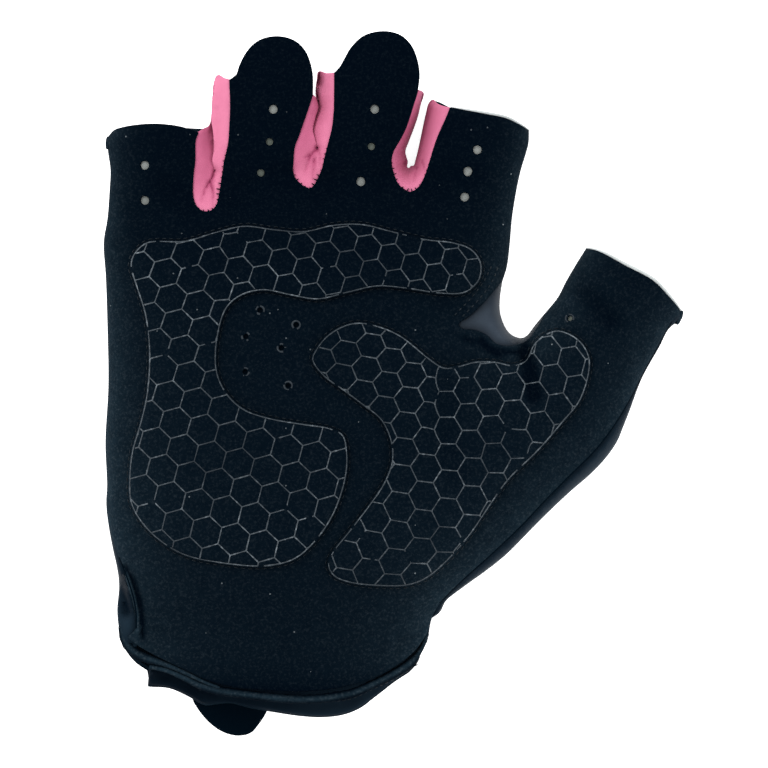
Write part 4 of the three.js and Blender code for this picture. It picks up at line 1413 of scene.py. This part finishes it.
def comb_lines(combs, outline):
    """The sides of the printed hexagons, as short sampled lines. The later combs blend into the first."""
    side = 1 / math.sqrt(3)
    turns = np.radians([0, 60, 120, 180])
    corners = side * np.column_stack([np.cos(turns), np.sin(turns)])
    share = np.linspace(-0.01, 1.01, SIDE_SAMPLES)[:, None]
    reach = range(-CELL_REACH, CELL_REACH + 1)
    middles = np.array([(1.5 * side * i, j + 0.5 * (i % 2)) for i in reach for j in reach])
    sides = [(m + a, m + b) for m in middles for a, b in zip(corners, corners[1:])]
    cells = np.vstack([start + (end - start) * share for start, end in sides])
    spots, places = comb_place(combs[0], middles), comb_place(combs[0], cells)
    for comb in combs[1:]:
        step = cells_apart(comb, middles, spots, outline)
        spots = blended(spots, comb, middles + step)
        places = blended(places, comb, cells + step)
    return [places[k : k + SIDE_SAMPLES] for k in range(0, len(places), SIDE_SAMPLES)]


def make_honeycomb(name, pad, combs, seed):
    """The worn print: hexagons and the line round the pad."""
    low, high = pad.outline.min(0), pad.outline.max(0)
    lines = comb_lines(combs, pad.outline)
    lines = [line for line in lines if np.all(line > low - 4) and np.all(line < high + 4)]
    every = np.vstack(lines)
    worn = wander(every, 2.6, seed, 2)
    width = 0.3 + 0.12 * wander(every, 1.2, seed + 1, 2)
    keep = inside(every, pad.outline) & (pad.depth(every) > 0.5) & (worn > -0.66)
    beads = worn_beads(lines, keep, width)
    border = even_steps(pad.ring(0.55), 0.5)
    worn = wander(border, 2.2, seed + 2, 3)
    width = 0.28 + 0.12 * wander(border, 1.3, seed + 3, 2)
    beads += worn_beads([border], worn > -0.5, width)

    def wear_and_shading(plan):
        return 0.4 + 0.6 * wander(plan, 16, seed + 4, 2)

    lay_beads(name, beads, 0.13, pad.top, print_line, "grip_print", wear_and_shading)


def stitch_row(line, length, pause, width):
    """Short thread bars along a plan line."""
    travelled = arc_length(line)
    bars = []
    place = 0.2
    while place + length < travelled[-1]:
        at = np.linspace(place, place + length, 5)
        bar = np.column_stack([np.interp(at, travelled, line[:, k]) for k in (0, 1)])
        bars.append(bead(bar, width * np.array([0.45, 0.9, 1.0, 0.9, 0.45])))
        place += length + pause
    return bars


def make_stitches():
    """The rows round the pads and along the thumb's gusset."""
    bars = []
    for pad in (palm_pad, thumb_pad):
        bars += stitch_row(pad.ring(-0.15), 1.0, 0.7, 0.26)
    for row in WEB_STITCH_ROWS:
        bars += stitch_row(smooth(row, 0.4), 0.8, 0.75, 0.34)

    def thread_height(places):
        return suede_height(places) + 0.06

    lay_beads("outline_stitches", bars, 0.2, thread_height, thread, "grip_print")


def make_seam_notches():
    """The overlock loops that bite into the pink cloth round each gap."""
    bars = []
    for gap in FINGER_GAPS:
        edge = smooth(gap["edge"], 0.2)
        inward = -outward(edge, chain(edge, smooth(gap["rim"], 0.5)))
        travelled = arc_length(edge)
        for k, place in enumerate(np.arange(1.2, travelled[-1] - 1, 1.35)):
            at = int(np.searchsorted(travelled, place))
            foot = swell(place / travelled[-1] - 0.5, 0.14)
            length = 0.25 + (0.55 + 0.35 * math.sin(5.1 * k)) * foot
            share = np.linspace(-0.5, length, 5)[:, None]
            bars.append(bead(edge[at] + inward[at] * share, 0.3 * np.array([0.8, 1, 1, 0.8, 0.4])))

    def loop_height(places):
        return suede_height(places) - 0.25

    lay_beads("gap_overlock", bars, 0.3, loop_height, suede, "suede")


def make_edge_threads():
    """The dark turned edge of the suede round the gaps and along the thumb's seam."""
    lines = [smooth(gap["edge"], 0.5) for gap in FINGER_GAPS]
    lines += [smooth(SUEDE_THUMB_EDGE[1:-2], 0.6), smooth(SUEDE_LITTLE_EDGE[1:-1], 0.6)]
    beads = [bead(line, np.full(len(line), 0.42)) for line in lines]

    def turned_height(places):
        return suede_height(places) - 0.02

    lay_beads("suede_edge_thread", beads, 0.16, turned_height, strap_cloth, "suede")


def make_roll(name, line, radius, height, seed):
    """A soft rolled edge of suede along a plan line, with a painted highlight along its crest."""
    turns = np.radians(np.arange(0, 360, 24))
    sides = left_normals(line)
    pucker = radius * (1 + 0.05 * np.sin(arc_length(line) * 2.9) + 0.1 * wander(line, 5, seed))
    rows = [
        np.column_stack([line + sides * (pucker * math.cos(t))[:, None], height + pucker * math.sin(t)])
        for t in turns
    ]

    def wear_and_shading(plan):
        # Painted highlight along the crest.
        return 0.62 * swell(distance(plan, line), 0.55) + 0.12 * wander(plan, 6, seed + 1)

    return piece(name, np.vstack(rows), tube_faces(len(turns), len(line)), suede, "suede", wear_and_shading=wear_and_shading)


def make_hem():
    """The rolled end of the palm at the wrist, with a second fold at its little finger end."""
    line = smooth(ROLL_LINE, 0.6)
    radius = 0.55 + 0.55 * ease((line[:, 0] + 55) / 14)
    radius *= np.clip((8.6 - line[:, 0]) / 4, 0.5, 1)
    hem = make_roll("palm_hem_roll", line, radius, suede_height(line) - 0.5 - radius, 21)
    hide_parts("palm_hem")
    line = smooth(FOLD_ROLL_LINE, 0.6)
    share = np.linspace(0, 1, len(line))
    radius = np.interp(share, [0, 0.15, 0.35, 0.55, 1], [0.7, 1.3, 1.2, 0.7, 0.3])
    fold = make_roll("palm_hem_fold", line, radius, suede_height(line) - 0.3 - radius, 23)
    bars = stitch_row(smooth(HEM_STITCH_ROW, 0.4), 0.8, 0.6, 0.3)
    lay_beads("hem_stitches", bars, 0.25, band_top, thread, "suede")
    return [hem, fold]


def band_top(places):
    """The top of the cuff's band, clear of the back below it."""
    return np.maximum(band_relief(places), sole_height(places) + LYCRA_WALL + 1.2)


def make_cuff_band():
    """The end of the back at the wrist, seen past the palm's rolled edge."""
    side = smooth([p for p in LITTLE_SIDE if p[1] <= BAND_START])[::-1]
    under_hem = [(x, y + 2.2) for x, y in HEM_LINE[1:-2]]
    inner = smooth([(6, -61), *under_hem, (-62, -61.4), (-64.2, -63.3)])
    outline = chain(smooth(BAND_LINE[1:]), smooth(BAND_END), side[::-1], inner[::-1])
    places, faces = plan_sheet(outline, step=0.9, rings=(0.15, 0.4, 0.8, 1.4))
    outer = np.vstack([smooth(THUMB_OUTER[-3:]), smooth(BAND_LINE), smooth(BAND_END), side[::-1]])
    top = band_top(places)
    depth = distance(places, outer)
    low = sole_height(places) + 1.0
    groove = 0.25 * swell(distance(places, smooth(ROLL_LINE)) - 2.1, 0.35)
    z = low + (top - low) * rise(depth, 2.0) - groove + 0.12 * wander(places, 5, 25)
    points, faces = thick_sheet(np.column_stack([places, z]), faces, BAND_WALL, bulge=0, plumb=True)

    def wear_and_shading(plan):
        # Painted shade next to the palm's roll; paler towards the thumb.
        shade = np.exp(-distance(plan, smooth(ROLL_LINE)) / 1.2)
        return 0.05 + 0.45 * ease((plan[:, 0] + 45) / 40) + 0.12 * wander(plan, 8, 26) - 0.4 * shade

    band = piece("cuff_band_satin", points, faces, satin, "satin_lycra", wear_and_shading=wear_and_shading)
    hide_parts("cuff_band")


def make_strap():
    """The strap under the wrist and its round free end."""
    outline = smooth(STRAP_OUTLINE, 0.9, closed=True)
    places, faces = plan_sheet(outline, step=1.2, rings=(0.3, 0.8, 1.5))
    depth = distance(places, outline, closed=True)
    stitched = 0.25 * swell(depth - 2.0, 0.35)
    top = STRAP_THICKNESS - 0.6 * (1 - rise(depth, 0.9)) - stitched + 0.06 * wander(places, 6, 31)
    under = 0.3 * (1 - rise(depth, 0.6))
    points, solid = slab(places, top, under, faces)
    strap = piece("wrist_strap_cloth", points, solid, strap_cloth, "strap_cloth")
    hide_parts("wrist_strap")


def make_seam_ends():
    """The small lumps where the side seams end at the mouths."""
    bars = []
    for start, end, width in SEAM_ENDS:
        line = np.array(start) + (np.array(end) - np.array(start)) * np.linspace(0, 1, 7)[:, None]
        bars.append(bead(line, width * np.array([0.7, 0.9, 1, 1, 0.9, 0.8, 0.5])))

    def lump_height(places):
        return seam_height(places) + 1.0

    lay_beads("seam_ends", bars, 1.2, lump_height, suede, "satin_lycra", suede_painted_light)


palm_pad = Pad(PALM_PAD)
thumb_pad = Pad(THUMB_PAD)

palm = make_palm_panel()
# Linings under the holes in painted shade; the palm's small holes get the dark strap cloth as painted
# shade.
make_hole_linings("lit_hole_lining", LIT_HOLES, LIT_HOLE, hole_lining)
make_hole_linings("shaded_hole_lining", SHADED_HOLES, SHADED_HOLE, shaded_lining)
make_hole_linings("palm_hole_lining", PALM_HOLES, PALM_HOLE, strap_cloth)
make_hole_linings("thumb_hole_lining", THUMB_HOLES, PALM_HOLE, shaded_lining)
make_hole_rings()
make_back()
make_side_rise(
    "thumb_side_satin", smooth(THUMB_OUTER), smooth(SUEDE_THUMB_EDGE), []
)
make_side_rise(
    "little_side_satin",
    smooth([p for p in LITTLE_SIDE if LITTLE_RISE_END < p[1] <= SUEDE_LEAVES_SIDE]),
    smooth([(-64.2, -63.3), (-62.3, -61)] + SUEDE_LITTLE_EDGE[1:]),
    LITTLE_SIDE_DENTS,
)
for wall_seed, (finger_gap, wall_area) in enumerate(zip(FINGER_GAPS, WALL_AREAS), start=1):
    make_finger_wall(finger_gap, wall_seed)
make_seam_notches()
make_edge_threads()
make_mouth_linings()
make_thumb_web()
make_pad("palm_pad_foam", palm_pad, "palm_pad")
make_pad("thumb_pad_foam", thumb_pad, "thumb_pad")
make_honeycomb("palm_honeycomb", palm_pad, [PALM_COMB, ARM_COMB], 41)
make_honeycomb("thumb_honeycomb", thumb_pad, [THUMB_COMB, FOLD_COMB, TIP_COMB, HEEL_COMB], 51)
make_stitches()
hems = make_hem()
make_cuff_band()
make_strap()
make_seam_ends()


# Floor, light and camera


def make_stage():
    """A white floor under a white sky, with a key light and a fill light."""
    bpy.ops.mesh.primitive_plane_add(size=4, location=(0, 0, -0.0002))
    floor = bpy.context.active_object
    floor.name = "floor"
    material = bpy.data.materials.new("floor_white")
    material.use_nodes = True
    shader = material.node_tree.nodes["Principled BSDF"]
    shader.inputs["Base Color"].default_value = (0.95, 0.95, 0.95, 1)
    shader.inputs["Roughness"].default_value = 0.9
    shader.inputs["Specular IOR Level"].default_value = 0.1
    shader.inputs["Emission Color"].default_value = (1, 1, 1, 1)
    shader.inputs["Emission Strength"].default_value = 0.8
    floor.data.materials.append(material)

    world = bpy.data.worlds.new("studio")
    bpy.context.scene.world = world
    world.use_nodes = True
    world.node_tree.nodes["Background"].inputs["Color"].default_value = (1, 1, 1, 1)
    world.node_tree.nodes["Background"].inputs["Strength"].default_value = 1.3
    for name, place, energy, size in (
        ("key", (-0.5, 0.55, 0.9), 9, 0.6),
        ("fill", (0.7, -0.2, 0.8), 4, 0.8),
    ):
        light = bpy.data.lights.new(name, "AREA")
        light.energy = energy
        light.size = size
        lamp = bpy.data.objects.new(name, light)
        lamp.location = place
        lamp.rotation_euler = (-Vector(place)).to_track_quat("-Z", "Y").to_euler()
        bpy.context.scene.collection.objects.link(lamp)


def make_camera():
    """Straight above, with the photograph's frame at the cloth's height."""
    camera = bpy.data.cameras.new("camera")
    camera.lens = 400
    camera.sensor_width = 36
    stand = bpy.data.objects.new("camera", camera)
    distance_away = PHOTO_WIDTH * camera.lens / camera.sensor_width
    stand.location = (*((PHOTO_MIDDLE - PATTERN_ORIGIN) * MM), (CLOTH_HEIGHT + distance_away) * MM)
    bpy.context.scene.collection.objects.link(stand)
    bpy.context.scene.camera = stand


make_stage()
make_camera()
bpy.context.scene.view_settings.view_transform = "Standard"
